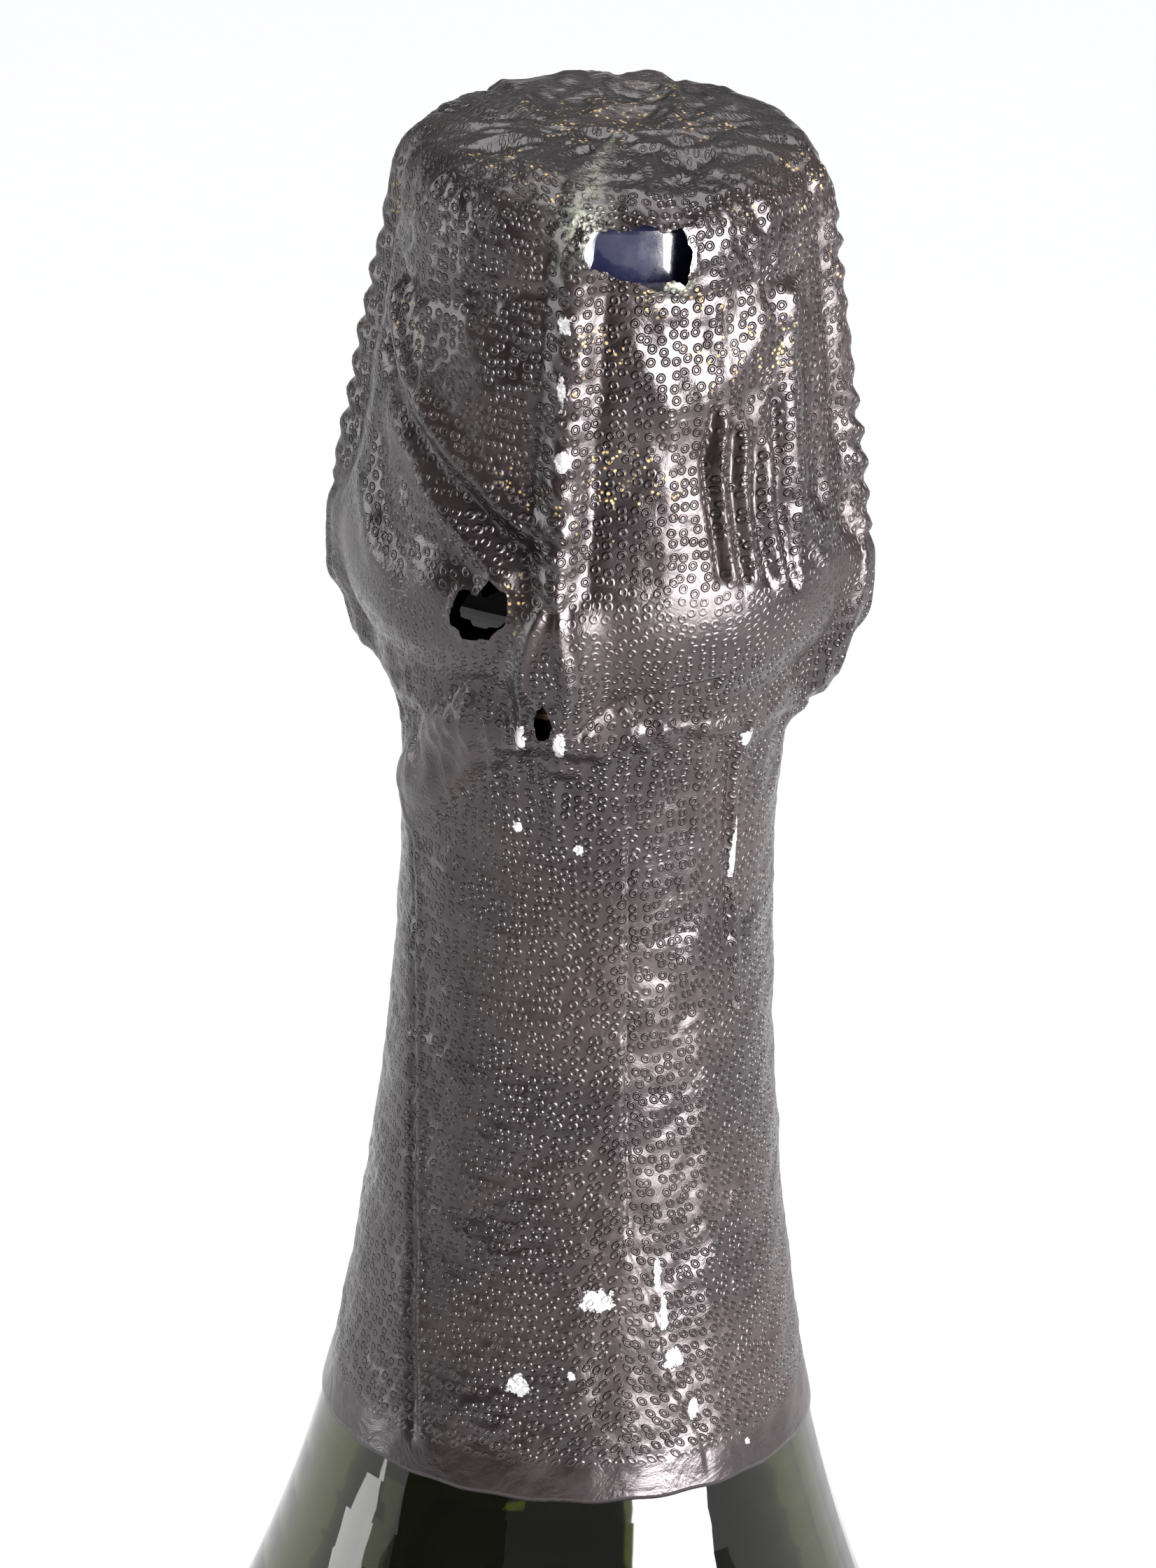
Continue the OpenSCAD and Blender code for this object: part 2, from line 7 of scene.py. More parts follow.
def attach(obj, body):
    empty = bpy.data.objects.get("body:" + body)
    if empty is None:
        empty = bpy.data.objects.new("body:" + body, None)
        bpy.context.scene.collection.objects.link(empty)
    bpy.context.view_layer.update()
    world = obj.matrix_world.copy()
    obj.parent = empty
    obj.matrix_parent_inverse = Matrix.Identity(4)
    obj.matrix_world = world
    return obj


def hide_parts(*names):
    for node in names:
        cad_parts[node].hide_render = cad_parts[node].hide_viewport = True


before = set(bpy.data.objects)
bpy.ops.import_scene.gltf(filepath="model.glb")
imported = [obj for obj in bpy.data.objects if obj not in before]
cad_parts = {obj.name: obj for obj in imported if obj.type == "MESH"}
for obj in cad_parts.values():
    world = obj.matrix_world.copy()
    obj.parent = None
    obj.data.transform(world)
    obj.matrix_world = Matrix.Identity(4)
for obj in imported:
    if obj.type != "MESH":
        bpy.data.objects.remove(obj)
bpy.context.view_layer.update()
mm = 0.001
ringZ = 278.0          # the widest line of the neck ring above the foot, in millimetres

# The camera looks down on the neck from the front. aim is the point in the middle of the picture.
viewpoint = {"lens": 241.07, "sensor": 36.0, "distance": 0.750, "pitch": 24.75, "roll": 2.22,
             "nearest": 0.01, "aim": (-0.000863, 0.0, 0.258175)}


# The camera stands at a distance from the aim, up by the pitch, and is rolled about its own axis
def placeCamera(v):
    pitch, roll = math.radians(v["pitch"]), math.radians(v["roll"])
    back = np.array([0.0, -math.cos(pitch), math.sin(pitch)])
    up = np.array([0.0, math.sin(pitch), math.cos(pitch)])
    right = np.array([1.0, 0.0, 0.0])
    across = right * math.cos(roll) + up * math.sin(roll)
    above = up * math.cos(roll) - right * math.sin(roll)
    place = np.array(v["aim"]) + back * v["distance"]
    camera = bpy.data.objects.new("camera", bpy.data.cameras.new("camera"))
    camera.data.lens = v["lens"]
    camera.data.sensor_width = v["sensor"]
    camera.data.clip_start = v["nearest"]
    rows = [[across[i], above[i], back[i], place[i]] for i in range(3)]
    camera.matrix_world = Matrix(rows + [[0, 0, 0, 1]])
    bpy.context.scene.collection.objects.link(camera)
    bpy.context.scene.camera = camera


placeCamera(viewpoint)
print("camera placed")


# A number that climbs from 0 at its start to 1 a length further on
def fade(x, start, length):
    return np.clip((x - start) / length, 0, 1)


# A bump that is 1 at zero and dies away past its half width. Higher powers make it flatter on top.
def bell(x, half, power=2):
    return np.exp(-(x / half) ** power)


# The signed turn from angle b to angle a, in degrees from -180 to 180
def turnGap(a, b):
    return (a - b + 180) % 360 - 180


# The signed length of the turn from angle b to angle a, along a circle
def arcGap(a, b, radius):
    return turnGap(a, b) * math.pi / 180 * radius


# A point at an angle round the bottle, a radius and a height
def placeOnTurn(a, r, z):
    turn = np.radians(a)
    return np.stack([r * np.cos(turn), r * np.sin(turn), z + 0 * turn], -1)


# Smooth noise from about -1 to 1: a sum of sine waves that run in random directions through space, each
# bent a little by a slower one
def lumps(points, size, seed, waves=9):
    rng = np.random.RandomState(seed)
    total = np.zeros(points.shape[:-1])
    fullTurn, shortest, longest, bending, slower, level = 6.28, 0.6, 1.7, 0.9, 0.6, 0.72
    for i in range(waves):
        way = rng.normal(size=3)
        way = way / np.linalg.norm(way) * 2 * math.pi / size * rng.uniform(shortest, longest)
        bend = bending * np.sin(points @ (way[[1, 2, 0]] * slower) + rng.uniform(0, fullTurn))
        total += np.sin(points @ way + rng.uniform(0, fullTurn) + bend)
    return total / math.sqrt(waves) * level


# Sharp folds between flat facets: one less twice the size of smooth noise, whose zero line is a ridge
def creases(points, size, seed):
    return 1 - 2 * np.abs(lumps(points, size, seed, 7))


# A smooth curve (Catmull-Rom) through the rows of a table, sampled at equal steps of its length
def smoothLine(table, count):
    rows = np.array(table, float)
    ends = np.vstack([2 * rows[0] - rows[1], rows, 2 * rows[-1] - rows[-2]])
    t = np.linspace(0, len(rows) - 1, 2000)
    i = np.minimum(t.astype(int), len(rows) - 2)
    u = (t - i)[:, None]
    a, b, c, d = ends[i], ends[i + 1], ends[i + 2], ends[i + 3]
    fine = 0.5 * (2 * b + (c - a) * u + (2 * a - 5 * b + 4 * c - d) * u ** 2
                  + (3 * b - a - 3 * c + d) * u ** 3)
    run = np.concatenate([[0], np.cumsum(np.linalg.norm(np.diff(fine[:, :2], axis=0), axis=1))])
    even = np.linspace(0, run[-1], count)
    return np.stack([np.interp(even, run, fine[:, k]) for k in range(rows.shape[1])], 1), even


# The straight stretches of a line of (angle, height) points, unrolled at each place's own radius
def stretches(line, radius):
    for (a0, z0), (a1, z1) in zip(line[:-1], line[1:]):
        yield arcGap(a0, line[0][0], radius), z0, arcGap(a1, line[0][0], radius), z1


# How far each place on the foil is from such a line, and on which side of it it lies: the nearest
# point of each stretch is found by its share of the stretch's length
def nearLine(a, z, radius, line):
    x = arcGap(a, line[0][0], radius)
    best = np.full(a.shape, 1e9)
    side = np.zeros(a.shape)
    for x0, z0, x1, z1 in stretches(line, radius):
        dx, dz = x1 - x0, z1 - z0
        t = np.clip(((x - x0) * dx + (z - z0) * dz) / (dx ** 2 + dz ** 2), 0, 1)
        gap = np.hypot(x - x0 - t * dx, z - z0 - t * dz)
        closer = gap < best
        best = np.where(closer, gap, best)
        side = np.where(closer, np.sign((x - x0) * dz - (z - z0) * dx), side)
    return best, side


# The distance to a closed outline of (angle, height) points, below zero inside it, where a level line
# crosses the outline an odd number of times
def outlineGap(a, z, radius, outline):
    line = list(outline) + [outline[0]]
    gap, _ = nearLine(a, z, radius, line)
    x = arcGap(a, outline[0][0], radius)
    crossed = np.zeros(a.shape, bool)
    for x0, z0, x1, z1 in stretches(line, radius):
        spans = (z0 > z) != (z1 > z)
        reach = x0 + (x1 - x0) * (z - z0) / (z1 - z0 if z1 != z0 else 1e-9)
        crossed ^= spans & (x < reach)
    return np.where(crossed, -gap, gap)


# A mesh from a grid of points, rows by columns, whose last column joins the first. finish holds four
# numbers a point, flat the place of each point on the unrolled sheet, keep the faces that stay, and
# pole a point that closes the last row.
def gridMesh(name, points, finish, flat, keep=None, pole=None):
    rows, cols = points.shape[:2]
    index = np.arange(rows * cols).reshape(rows, cols)
    low, high = index[:-1], index[1:]
    faces = np.stack([low, np.roll(low, -1, 1), np.roll(high, -1, 1), high], -1)
    u, v = flat[..., 0], flat[..., 1]
    uNext = np.concatenate([u[:, 1:], u[:, -1:] + (u[:, 1:2] - u[:, :1])], 1)
    uv = np.stack([np.stack([u[:-1], v[:-1]], -1), np.stack([uNext[:-1], v[:-1]], -1),
                   np.stack([uNext[1:], v[1:]], -1), np.stack([u[1:], v[1:]], -1)], 2)
    keep = np.ones(faces.shape[:2], bool) if keep is None else keep
    verts, finish = points.reshape(-1, 3), finish.reshape(-1, 4)
    quads = faces[keep]
    loops, starts, uvs = quads.reshape(-1), np.arange(len(quads)) * 4, uv[keep].reshape(-1, 2)
    if pole is not None:
        tips = np.stack([index[-1], np.roll(index[-1], -1), np.full(cols, len(verts))], -1)
        tipUv = np.stack([flat[-1], np.roll(flat[-1], -1, 0), flat[-1] * [1, 0] + [0, v[-1].max()]], 1)
        starts = np.concatenate([starts, len(loops) + np.arange(cols) * 3])
        loops = np.concatenate([loops, tips.reshape(-1)])
        uvs = np.concatenate([uvs, tipUv.reshape(-1, 2)])
        verts = np.vstack([verts, pole])
        finish = np.vstack([finish, finish[-cols:].mean(0)])
    used = np.unique(loops)
    fresh = np.full(len(verts), -1)
    fresh[used] = np.arange(len(used))
    mesh = bpy.data.meshes.new(name)
    mesh.vertices.add(len(used))
    mesh.vertices.foreach_set("co", (verts[used] * mm).astype(np.float32).ravel())
    mesh.loops.add(len(loops))
    mesh.loops.foreach_set("vertex_index", fresh[loops].astype(np.int32))
    mesh.polygons.add(len(starts))
    mesh.polygons.foreach_set("loop_start", starts.astype(np.int32))
    mesh.update(calc_edges=True)
    mesh.validate()
    mesh.shade_smooth()
    sheet = mesh.uv_layers.new(name="sheet")
    sheet.data.foreach_set("uv", (uvs * mm).astype(np.float32).ravel())
    layer = mesh.attributes.new("finish", "FLOAT_COLOR", "POINT")
    layer.data.foreach_set("color", finish[used].astype(np.float32).ravel())
    piece = bpy.data.objects.new(name, mesh)
    bpy.context.scene.collection.objects.link(piece)
    return piece


# The foil's form, shared by its head and its sleeve. Angles run round the bottle from +X towards +Y,
# heights from the ring's widest line, and lengths are in millimetres. A beak lies over each of the two
# wires of an eyelet, as (turn from the leg, height), and a rope over a leg's twisted strands. The loop
# is the belt's, and the lap the sleeve's seam. The tear's wander is a sum of sines, as (height, times
# round, shift), and crumpling comes as (height, size, seed).
foil = {
    "legs": (-99, -9, 81, 171), "tear": -26.0, "skirt": -68.4, "ease": 0.28, "leastRadius": 6,
    "wander": ((0.35, 3, 0.6), (0.25, 7, 2), (0.12, 17, 0)),
    "neck": {"radius": 13.05, "straight": 21.4, "upperArc": 250.0, "lowerArc": 120.0, "turn": 9},
    "loop": {"turn": -119, "radius": 13.5, "drop": 9.2, "height": 1.15, "middle": 7.1,
             "halfLength": 8.9, "halfWidth": 2.6},
    "beak": {"height": 0.42, "half": 0.42,
             "sides": ([(-1.6, 2.5), (-4.6, 0), (-7.6, -3.8), (-8.0, -9.1)],
                       [(0.6, 2.5), (1.4, 0), (3.4, -3.8), (1.6, -9.3)])},
    "rope": {"height": 0.27, "even": 0.8, "uneven": 0.45, "patch": 9, "seed": 12, "pitch": 2.35,
             "slant": 0.22, "half": 1.0, "low": 1.5, "top": 26.5, "fade": 3,
             "grooveDepth": 0.3, "grooveOut": 2.1, "grooveHalf": 0.7},
    "lap": {"line": [(-79.6, -7), (-79.6, -8.3), (-77.5, -23.5), (-76, -39.7), (-73.9, -49.9),
                     (-68, -53.3), (-62.6, -60.4), (-55.5, -64.5), (-53, -69.5)],
            "height": 0.22, "step": 0.07, "width": 2.6, "crease": 0.1, "creaseHalf": 0.2,
            "top": -6, "fade": 3},
    "crumple": {"smoothRing": 3.2, "least": 0.1, "soft": ((0.10, 5.5, 3), (0.05, 2.1, 5)),
                "upright": 0.3, "waist": (0.16, 3.2, 8), "waistAt": -12, "waistHalf": 5,
                "drape": (0.09, 6.5, 9), "drapeFrom": -5, "drapeFade": 10,
                "rim": ((0.16, 5.0, 21), (0.07, 2.4, 22)), "rimAt": 27.5, "rimHalf": 3.5}}


# The glass neck's radius at a height: straight, then a wide arc through the turn, then a tighter one
def neckRadius(z):
    neck = foil["neck"]
    radius, upper, lower = neck["radius"], neck["upperArc"], neck["lowerArc"]
    turn = math.radians(neck["turn"])
    drop = np.maximum(0, -neck["straight"] - z)
    bend = upper * math.sin(turn)
    first = radius + upper - np.sqrt(upper ** 2 - np.minimum(drop, bend) ** 2)
    past = np.maximum(0, drop - bend) + lower * math.sin(turn)
    middle = radius + upper * (1 - math.cos(turn)) + lower * math.cos(turn)
    return np.where(drop <= bend, first, middle - np.sqrt(lower ** 2 - past ** 2))


# The signed distance to the nearest leg, and which leg it is
def legGap(a, radius):
    gaps = np.stack([turnGap(a, leg) for leg in foil["legs"]])
    which = np.abs(gaps).argmin(0)
    near = np.take_along_axis(gaps, which[None], 0)[0]
    return near * math.pi / 180 * radius, which


# The belt's loop under the foil: a flat bar that runs down and to the left at 45 degrees, seen from
# the front
def loopBump(a, z):
    loop = foil["loop"]
    x = arcGap(loop["turn"], a, loop["radius"])
    y = z + loop["drop"]
    along, across = (x - y) * math.sqrt(0.5), (x + y) * math.sqrt(0.5)
    flat = ((along - loop["middle"]) / loop["halfLength"]) ** 6
    return loop["height"] * np.exp(-flat - (across / loop["halfWidth"]) ** 4)


# The height of the line where the head tears from the sleeve, which wanders round the neck
def tearLine(a):
    turn = np.radians(a)
    return foil["tear"] + sum(height * np.sin(times * turn + shift)
                              for height, times, shift in foil["wander"])


# Ridges and hollows of the sheet: points as (angle, height), height of the ridge, half width
drapesLeft = [
    ([(-160, 19.5), (-156.5, 18), (-143.4, 14.1), (-128.4, 10.5), (-116, 8.4), (-106, 7)], 0.75, 1.1),
    ([(-163, 15.5), (-150, 12.2), (-143.7, 11.2), (-124.8, 9.0), (-110, 5.5)], -0.7, 1.2),
    ([(-150, 11.6), (-136, 8.2), (-124.8, 6.2), (-112, 3.4)], 0.6, 1.0),
    ([(-168, 21), (-160, 10), (-150, 4.5), (-138, 1.5)], -0.45, 1.3),
    ([(-166, 6), (-150, 1.8), (-128, 1.4)], 0.35, 1.2)]
wrinklesRight = [
    ([(-62, 15.2), (-64.2, 12), (-63.6, 10), (-62.2, 7), (-61, 3.6)], -0.6, 0.42),
    ([(-59.4, 14.4), (-61.4, 11), (-60.6, 7.4), (-58.6, 3.4)], 0.4, 0.45),
    ([(-56, 13.4), (-57.6, 10), (-55.4, 3.2)], -0.4, 0.4),
    ([(-54, 13.4), (-55, 10), (-52.6, 2.8)], 0.32, 0.4),
    ([(-50.4, 12), (-51.4, 8), (-48.4, 2.6)], -0.35, 0.42),
    ([(-47, 12), (-47.4, 8), (-44.6, 2.2)], 0.35, 0.45),
    ([(-43, 15), (-43.6, 9), (-41, 1.8)], -0.45, 0.5),
    ([(-36, 22), (-38, 14), (-36, 6), (-30, 2.4)], 0.5, 0.9),
    ([(-24, 21), (-27, 13), (-27, 6)], -0.5, 1.1),
    ([(-84, 20), (-74, 15.5), (-58, 18), (-38, 21.4)], 0.35, 1.3)]
creasesUnderRim = [
    ([(-130, 22.6), (-110, 23.4), (-90, 23.8), (-66, 23.3), (-43, 23.7), (-20, 23)], -0.3, 0.45),
    ([(-174, 22), (-150, 20.6), (-122, 21.8)], -0.3, 0.5)]
creasesUnderRing = [
    ([(-93, -8.3), (-88, -6.9), (-82.5, -6.2), (-71.3, -5.2), (-60, -5.0)], -0.45, 0.35),
    ([(-88, -10), (-79, -8.9), (-68, -8.6), (-52, -9.3)], 0.35, 0.5),
    ([(-134, -9), (-126, -6.6), (-116, -5.4)], -0.35, 0.5)]
foldsBehind = [
    ([(150, 21), (138, 12), (126, 5)], 0.7, 1.2),
    ([(144, 18), (131, 9), (121, 3.5)], -0.65, 1.1),
    ([(118, 15), (122, 9), (119, 3)], 0.45, 0.6),
    ([(112, 16), (114, 9), (112, 3.4)], -0.4, 0.5),
    ([(16, 22), (30, 13), (42, 6), (58, 3)], 0.7, 1.2),
    ([(10, 18), (24, 9.5), (40, 3.5)], -0.6, 1.2),
    ([(56, 15), (52, 9), (55, 3)], 0.45, 0.6),
    ([(62, 16), (60, 9), (62, 3.4)], -0.4, 0.5),
    ([(66, 23), (40, 21.6), (12, 22.6)], -0.3, 0.5),
    ([(164, 23), (130, 21.8), (98, 22.6)], -0.3, 0.5)]
foldsOfNeck = [
    ([(-42.6, -9), (-42.6, -12), (-40.7, -19.7), (-38.4, -26), (-34.9, -33.3)], 0.3, 0.35),
    ([(-44.6, -10), (-44.2, -14), (-42.6, -20), (-40, -27)], -0.22, 0.4),
    ([(-166, -13), (-159.6, -22), (-145.4, -43.1), (-129, -65.7)], -0.3, 0.6),
    ([(-163, -14), (-156.8, -22), (-142.6, -43.1), (-126.4, -65.7)], 0.25, 0.5),
    ([(-113, -50.6), (-96, -50.1), (-78, -49.8)], 0.12, 0.3),
    ([(20, -10), (24, -24), (30, -44), (38, -64)], -0.26, 0.6),
    ([(96, -10), (90, -30), (84, -52)], 0.22, 0.5),
    ([(150, -12), (154, -26), (160, -44)], -0.22, 0.5)]
folds = drapesLeft + wrinklesRight + creasesUnderRim + creasesUnderRing + foldsBehind + foldsOfNeck


# How far the sheet stands off its smooth form: the sum of its folds, the beaks over the eyelets, the
# rope of each twisted leg, the loop under the foil, the lapped seam and fine crumpling
def foilShape(a, z, r0, high):
    beak, rope, lap, crumple = (foil[part] for part in ("beak", "rope", "lap", "crumple"))
    radius = np.maximum(r0, foil["leastRadius"])
    place = placeOnTurn(a, r0, z)
    up = np.clip(high, 0, 1)
    lift = np.zeros(a.shape)
    for line, height, half in folds:
        lift += height * bell(nearLine(a, z, radius, line)[0], half)
    for leg in foil["legs"]:
        for side in beak["sides"]:
            line = [(leg + turn, height) for turn, height in side]
            lift += beak["height"] * bell(nearLine(a, z, radius, line)[0], beak["half"])
    near, which = legGap(a, radius)
    above = fade(z, rope["low"], rope["fade"])
    crest = bell(near, rope["half"]) * above * fade(-z, -rope["top"], rope["fade"])
    uneven = rope["even"] + rope["uneven"] * lumps(place, rope["patch"], rope["seed"])
    turns = z / rope["pitch"] + near * rope["slant"]
    lift += rope["height"] * uneven * crest * np.sin(2 * math.pi * turns + which)
    groove = bell(np.abs(near) - rope["grooveOut"], rope["grooveHalf"])
    lift -= rope["grooveDepth"] * groove * above * (1 - up)
    lift += loopBump(a, z)
    gap, side = nearLine(a, z, radius, lap["line"])
    past = np.where(side > 0, gap, -gap)
    step = lap["height"] / (1 + np.exp(-past / lap["step"])) * np.exp(-np.maximum(past, 0) / lap["width"])
    lift += fade(-z, -lap["top"], lap["fade"]) * (step - lap["crease"] * bell(past, lap["creaseHalf"]))
    soft = np.clip(1 - bell(z, crumple["smoothRing"]), crumple["least"], 1) * (1 - up)
    for height, size, seed in crumple["soft"]:
        lift += soft * height * lumps(place, size, seed)
    tall = place * [1.0, 1.0, crumple["upright"]]
    height, size, seed = crumple["waist"]
    lift += soft * height * bell(z - crumple["waistAt"], crumple["waistHalf"]) * creases(tall, size, seed)
    height, size, seed = crumple["drape"]
    lift += soft * height * creases(tall, size, seed) * fade(z, crumple["drapeFrom"], crumple["drapeFade"])
    rim = bell(z - crumple["rimAt"], crumple["rimHalf"]) * (1 - up)
    for height, size, seed in crumple["rim"]:
        lift += rim * height * creases(place, size, seed)
    return lift


# The foil's finish. Silver is bare where the lacquer is rubbed off: in patches as (angle, height, half
# width, half height), along torn edges, and on the crests of the ribs. Gold dust lies above the ring,
# on the top and at the front, and pale bloom in patches as (strength, angle, height, half width, half
# height). The emboss is flattened on the ring, the top, the hem, the loop, the crests and to the left.
# A noise is (size, seed), and degree is how many millimetres wide a degree is taken to be there.
wear = {
    "patches": [
        (-82.5, -53.4, 1.2, 0.9), (-102.4, -60.1, 0.8, 0.75), (-89.2, -59, 0.35, 0.35),
        (-66.0, -51.8, 0.28, 1.3), (-64.4, -54.8, 0.3, 1.6), (-61.9, -58.3, 0.75, 0.8),
        (-56.6, -62.4, 0.4, 0.8), (-41, -66.3, 0.3, 0.3), (-111.8, -17.5, 0.4, 0.4),
        (-92.7, -18.8, 0.45, 0.4), (-68.4, 26.4, 0.4, 1.5), (-99.3, 12.4, 0.5, 0.75),
        (-100.8, 21.9, 0.5, 0.8), (-100.4, 17.2, 0.3, 1.2), (-107.1, -8.9, 0.45, 1.1),
        (-97.6, -9.0, 0.45, 1.2), (-40.4, -20.5, 0.2, 2.4), (-42.6, -11, 0.4, 0.7),
        (24, -30, 0.7, 0.6), (140, -48, 0.9, 0.8), (88, 12, 0.4, 1.6), (62, -62, 0.6, 0.5)],
    "silver": {"full": 1.12, "fall": 0.5, "edge": 0.56, "edgeHalf": 0.14, "crest": 0.52,
               "noise": (2.6, 31), "share": 0.25},
    "crest": {"half": 0.7, "top": 26, "topFade": 4, "low": -2, "lowFade": 6},
    "dust": {"all": 0.8, "share": 0.35, "noise": (13, 41), "from": -4, "fade": 14,
             "top": 1.3, "topAt": (5.5, 2), "topSpread": 14,
             "front": 0.9, "frontAt": (-108, 2), "frontHalf": (2.6, 4), "degree": 0.3},
    "bloom": {"patches": ((1.0, -99, 28.4, 1.6, 1.6), (0.8, -72, 24.8, 1.1, 1.0)), "degree": 0.25},
    "emboss": {"ring": 0.8, "ringAt": 0.6, "ringHalf": 3.0, "crown": 0.75, "hem": 2.6, "hemFade": 1.2,
               "loop": 0.85, "crest": 0.5, "left": 0.6, "leftAt": (-143, 9), "leftHalf": (26, 8)}}


# Four numbers a point: bare silver, gold dust, pale bloom, and how deep the emboss is. Each of the
# first three is the largest of its patches, and the emboss is a product of what flattens it.
def foilFinish(a, z, r0, high, edge):
    metal, top, d, pale, e = (wear[part] for part in ("silver", "crest", "dust", "bloom", "emboss"))
    radius = np.maximum(r0, foil["leastRadius"])
    place = placeOnTurn(a, r0, z)
    silver = metal["edge"] * bell(edge, metal["edgeHalf"])
    for angle, height, wide, tall in wear["patches"]:
        out = np.hypot(arcGap(a, angle, radius) / wide, (z - height) / tall)
        silver = np.maximum(silver, metal["full"] - metal["fall"] * out)
    near, _ = legGap(a, radius)
    crest = bell(near, top["half"]) * fade(-z, -top["top"], top["topFade"])
    crest *= fade(z, top["low"], top["lowFade"])
    rubbed = np.clip(lumps(place, *metal["noise"]) + metal["share"], 0, 1)
    silver = np.maximum(silver, metal["crest"] * crest * rubbed)
    dust = d["all"] * np.clip(d["share"] + lumps(place, *d["noise"]), 0, 1) * fade(z, d["from"], d["fade"])
    out = (place[..., 0] - d["topAt"][0]) ** 2 + (place[..., 1] - d["topAt"][1]) ** 2
    dust = np.maximum(dust, d["top"] * np.exp(-out / d["topSpread"]) * high)
    front = bell(turnGap(a, d["frontAt"][0]) * d["degree"], d["frontHalf"][0])
    dust = np.maximum(dust, d["front"] * front * bell(z - d["frontAt"][1], d["frontHalf"][1]))
    bloom = np.zeros(a.shape)
    for strength, angle, height, wide, tall in pale["patches"]:
        patch = bell(turnGap(a, angle) * pale["degree"], wide) * bell(z - height, tall)
        bloom = np.maximum(bloom, strength * patch)
    emboss = np.clip(1 - e["ring"] * bell(z - e["ringAt"], e["ringHalf"]), 0, 1)
    emboss *= (1 - e["crown"] * np.clip(high, 0, 1)) * fade(z, foil["skirt"] + e["hem"], e["hemFade"])
    emboss *= (1 - e["loop"] * np.clip(loopBump(a, z), 0, 1)) * (1 - e["crest"] * crest)
    left = bell(turnGap(a, e["leftAt"][0]), e["leftHalf"][0]) * bell(z - e["leftAt"][1], e["leftHalf"][1])
    emboss *= 1 - e["left"] * left
    return np.stack([np.clip(silver, 0, 1), np.clip(dust, 0, 1), np.clip(bloom, 0, 1), emboss], -1)


# Radius between the legs, height and radius over a leg, from the tear up to the rim and over the top
headLine = [
    (13.33, -26, 13.33), (13.33, -22.5, 13.33), (13.4, -19.5, 13.4), (13.5, -17, 13.55),
    (13.75, -13.5, 14), (14.5, -11.2, 15.8), (15.45, -9.4, 16.9), (15.75, -7.9, 17.3),
    (16.1, -6.4, 17.85), (17.2, -4.6, 18.95), (18.0, -2.6, 19.15), (18.3, -0.4, 19.2),
    (18.15, 1.8, 19.15), (17.6, 4, 19.0), (17.15, 7, 18.55), (16.5, 12, 17.75), (15.8, 17.5, 16.95),
    (15.05, 22.5, 16.15), (14.7, 25.6, 15.7), (14.35, 27.8, 15.1), (13.75, 29.0, 14.3),
    (12.7, 29.65, 13.2), (10.5, 29.95, 10.7), (7, 30.1, 7), (3, 30.15, 3), (0.35, 30.15, 0.35)]

# Holes torn in the head, as (angle, height)
holes = {
    "top": [(-95.6, 28.0), (-91, 28.5), (-86, 28.3), (-81.1, 28.7), (-75, 28.2), (-70.2, 28.4),
            (-68.0, 26.8), (-69.7, 24.6), (-73, 24.9), (-77.4, 24.3), (-84.8, 25.0), (-90.4, 25.4),
            (-95.1, 26.0), (-97.2, 27.2)],
    "ring": [(-123.8, -0.4), (-121.2, 1.9), (-117, 1.7), (-114.3, 2.9), (-109.3, 2.2), (-109.9, 0.1),
             (-114.1, -1.3), (-120.2, -1.6)],
    "eyelet": [(-103.6, -7.0), (-101.2, -5.6), (-99.6, -6.6), (-99.2, -8.4), (-102.6, -8.8)]}

# The head alone. A rib stands over each leg, wider over its eyelet. The gathered top has creases, as
# (height, size, seed), broad folds that swirl in to the middle, a flap that lies over the front, with
# its edge as a radius, a wave and a ripple, and a corner of foil that stands up at the back. Torn edges
# are ragged, as (height, size, seed), and curl a little, and corners slide no further than the reach.
headForm = {
    "columns": 540, "rows": 176, "seamTurn": 100, "crownFrom": 57.5, "crownFade": 3,
    "rib": {"half": 1.35, "eyeletHalf": 2.9, "top": 3, "topFade": 2.5, "low": -12, "lowFade": 2},
    "foot": {"wanderFrom": -20, "wanderFade": 6, "snugFrom": -17, "snugFade": 3},
    "crown": {"creases": ((0.26, 7.5, 61), (0.09, 3.1, 62)), "spread": 13, "swirl": 0.22,
              "swirlFolds": 7, "swirlTurn": 5, "swirlOut": 1.4,
              "flap": 0.4, "flapStep": 0.09, "flapRadius": 9.6, "flapWave": (1.3, 86, 2.2),
              "flapRipple": (0.25, 9), "flapTurn": -88, "flapReach": (1.3, 62, 3),
              "corner": 0.9, "cornerAt": (-3.6, 10.2), "cornerHalf": (1.1, 1.0)},
    "torn": {"ragged": ((0.13, 1.3, 51), (0.05, 0.5, 52)), "curl": 0.25, "curlHalf": 0.5,
             "reach": 1.2, "leastSlope": 0.02, "none": 50.0}}


# The head's smooth form: its line between the legs, drawn out by the ribs to its line over a leg, and
# drawn in to the neck near the tear
def smoothHead(a, line):
    rib, foot = headForm["rib"], headForm["foot"]
    between, height, over = (line[:, k][:, None] for k in range(3))
    z = height + fade(-height, -foot["wanderFrom"], foot["wanderFade"]) * (tearLine(a) - foil["tear"])
    near, _ = legGap(a, np.maximum(between, foil["leastRadius"]))
    eyelet = fade(-z, -rib["top"], rib["topFade"]) * fade(z, rib["low"], rib["lowFade"])
    wide = eyelet * bell(np.abs(near), rib["eyeletHalf"], 4)
    r0 = between + (over - between) * np.maximum(wide, (1 - eyelet) * bell(near, rib["half"]))
    snug = fade(-z, -foot["snugFrom"], foot["snugFade"])
    return r0 + snug * (neckRadius(z) + foil["ease"] - r0), z


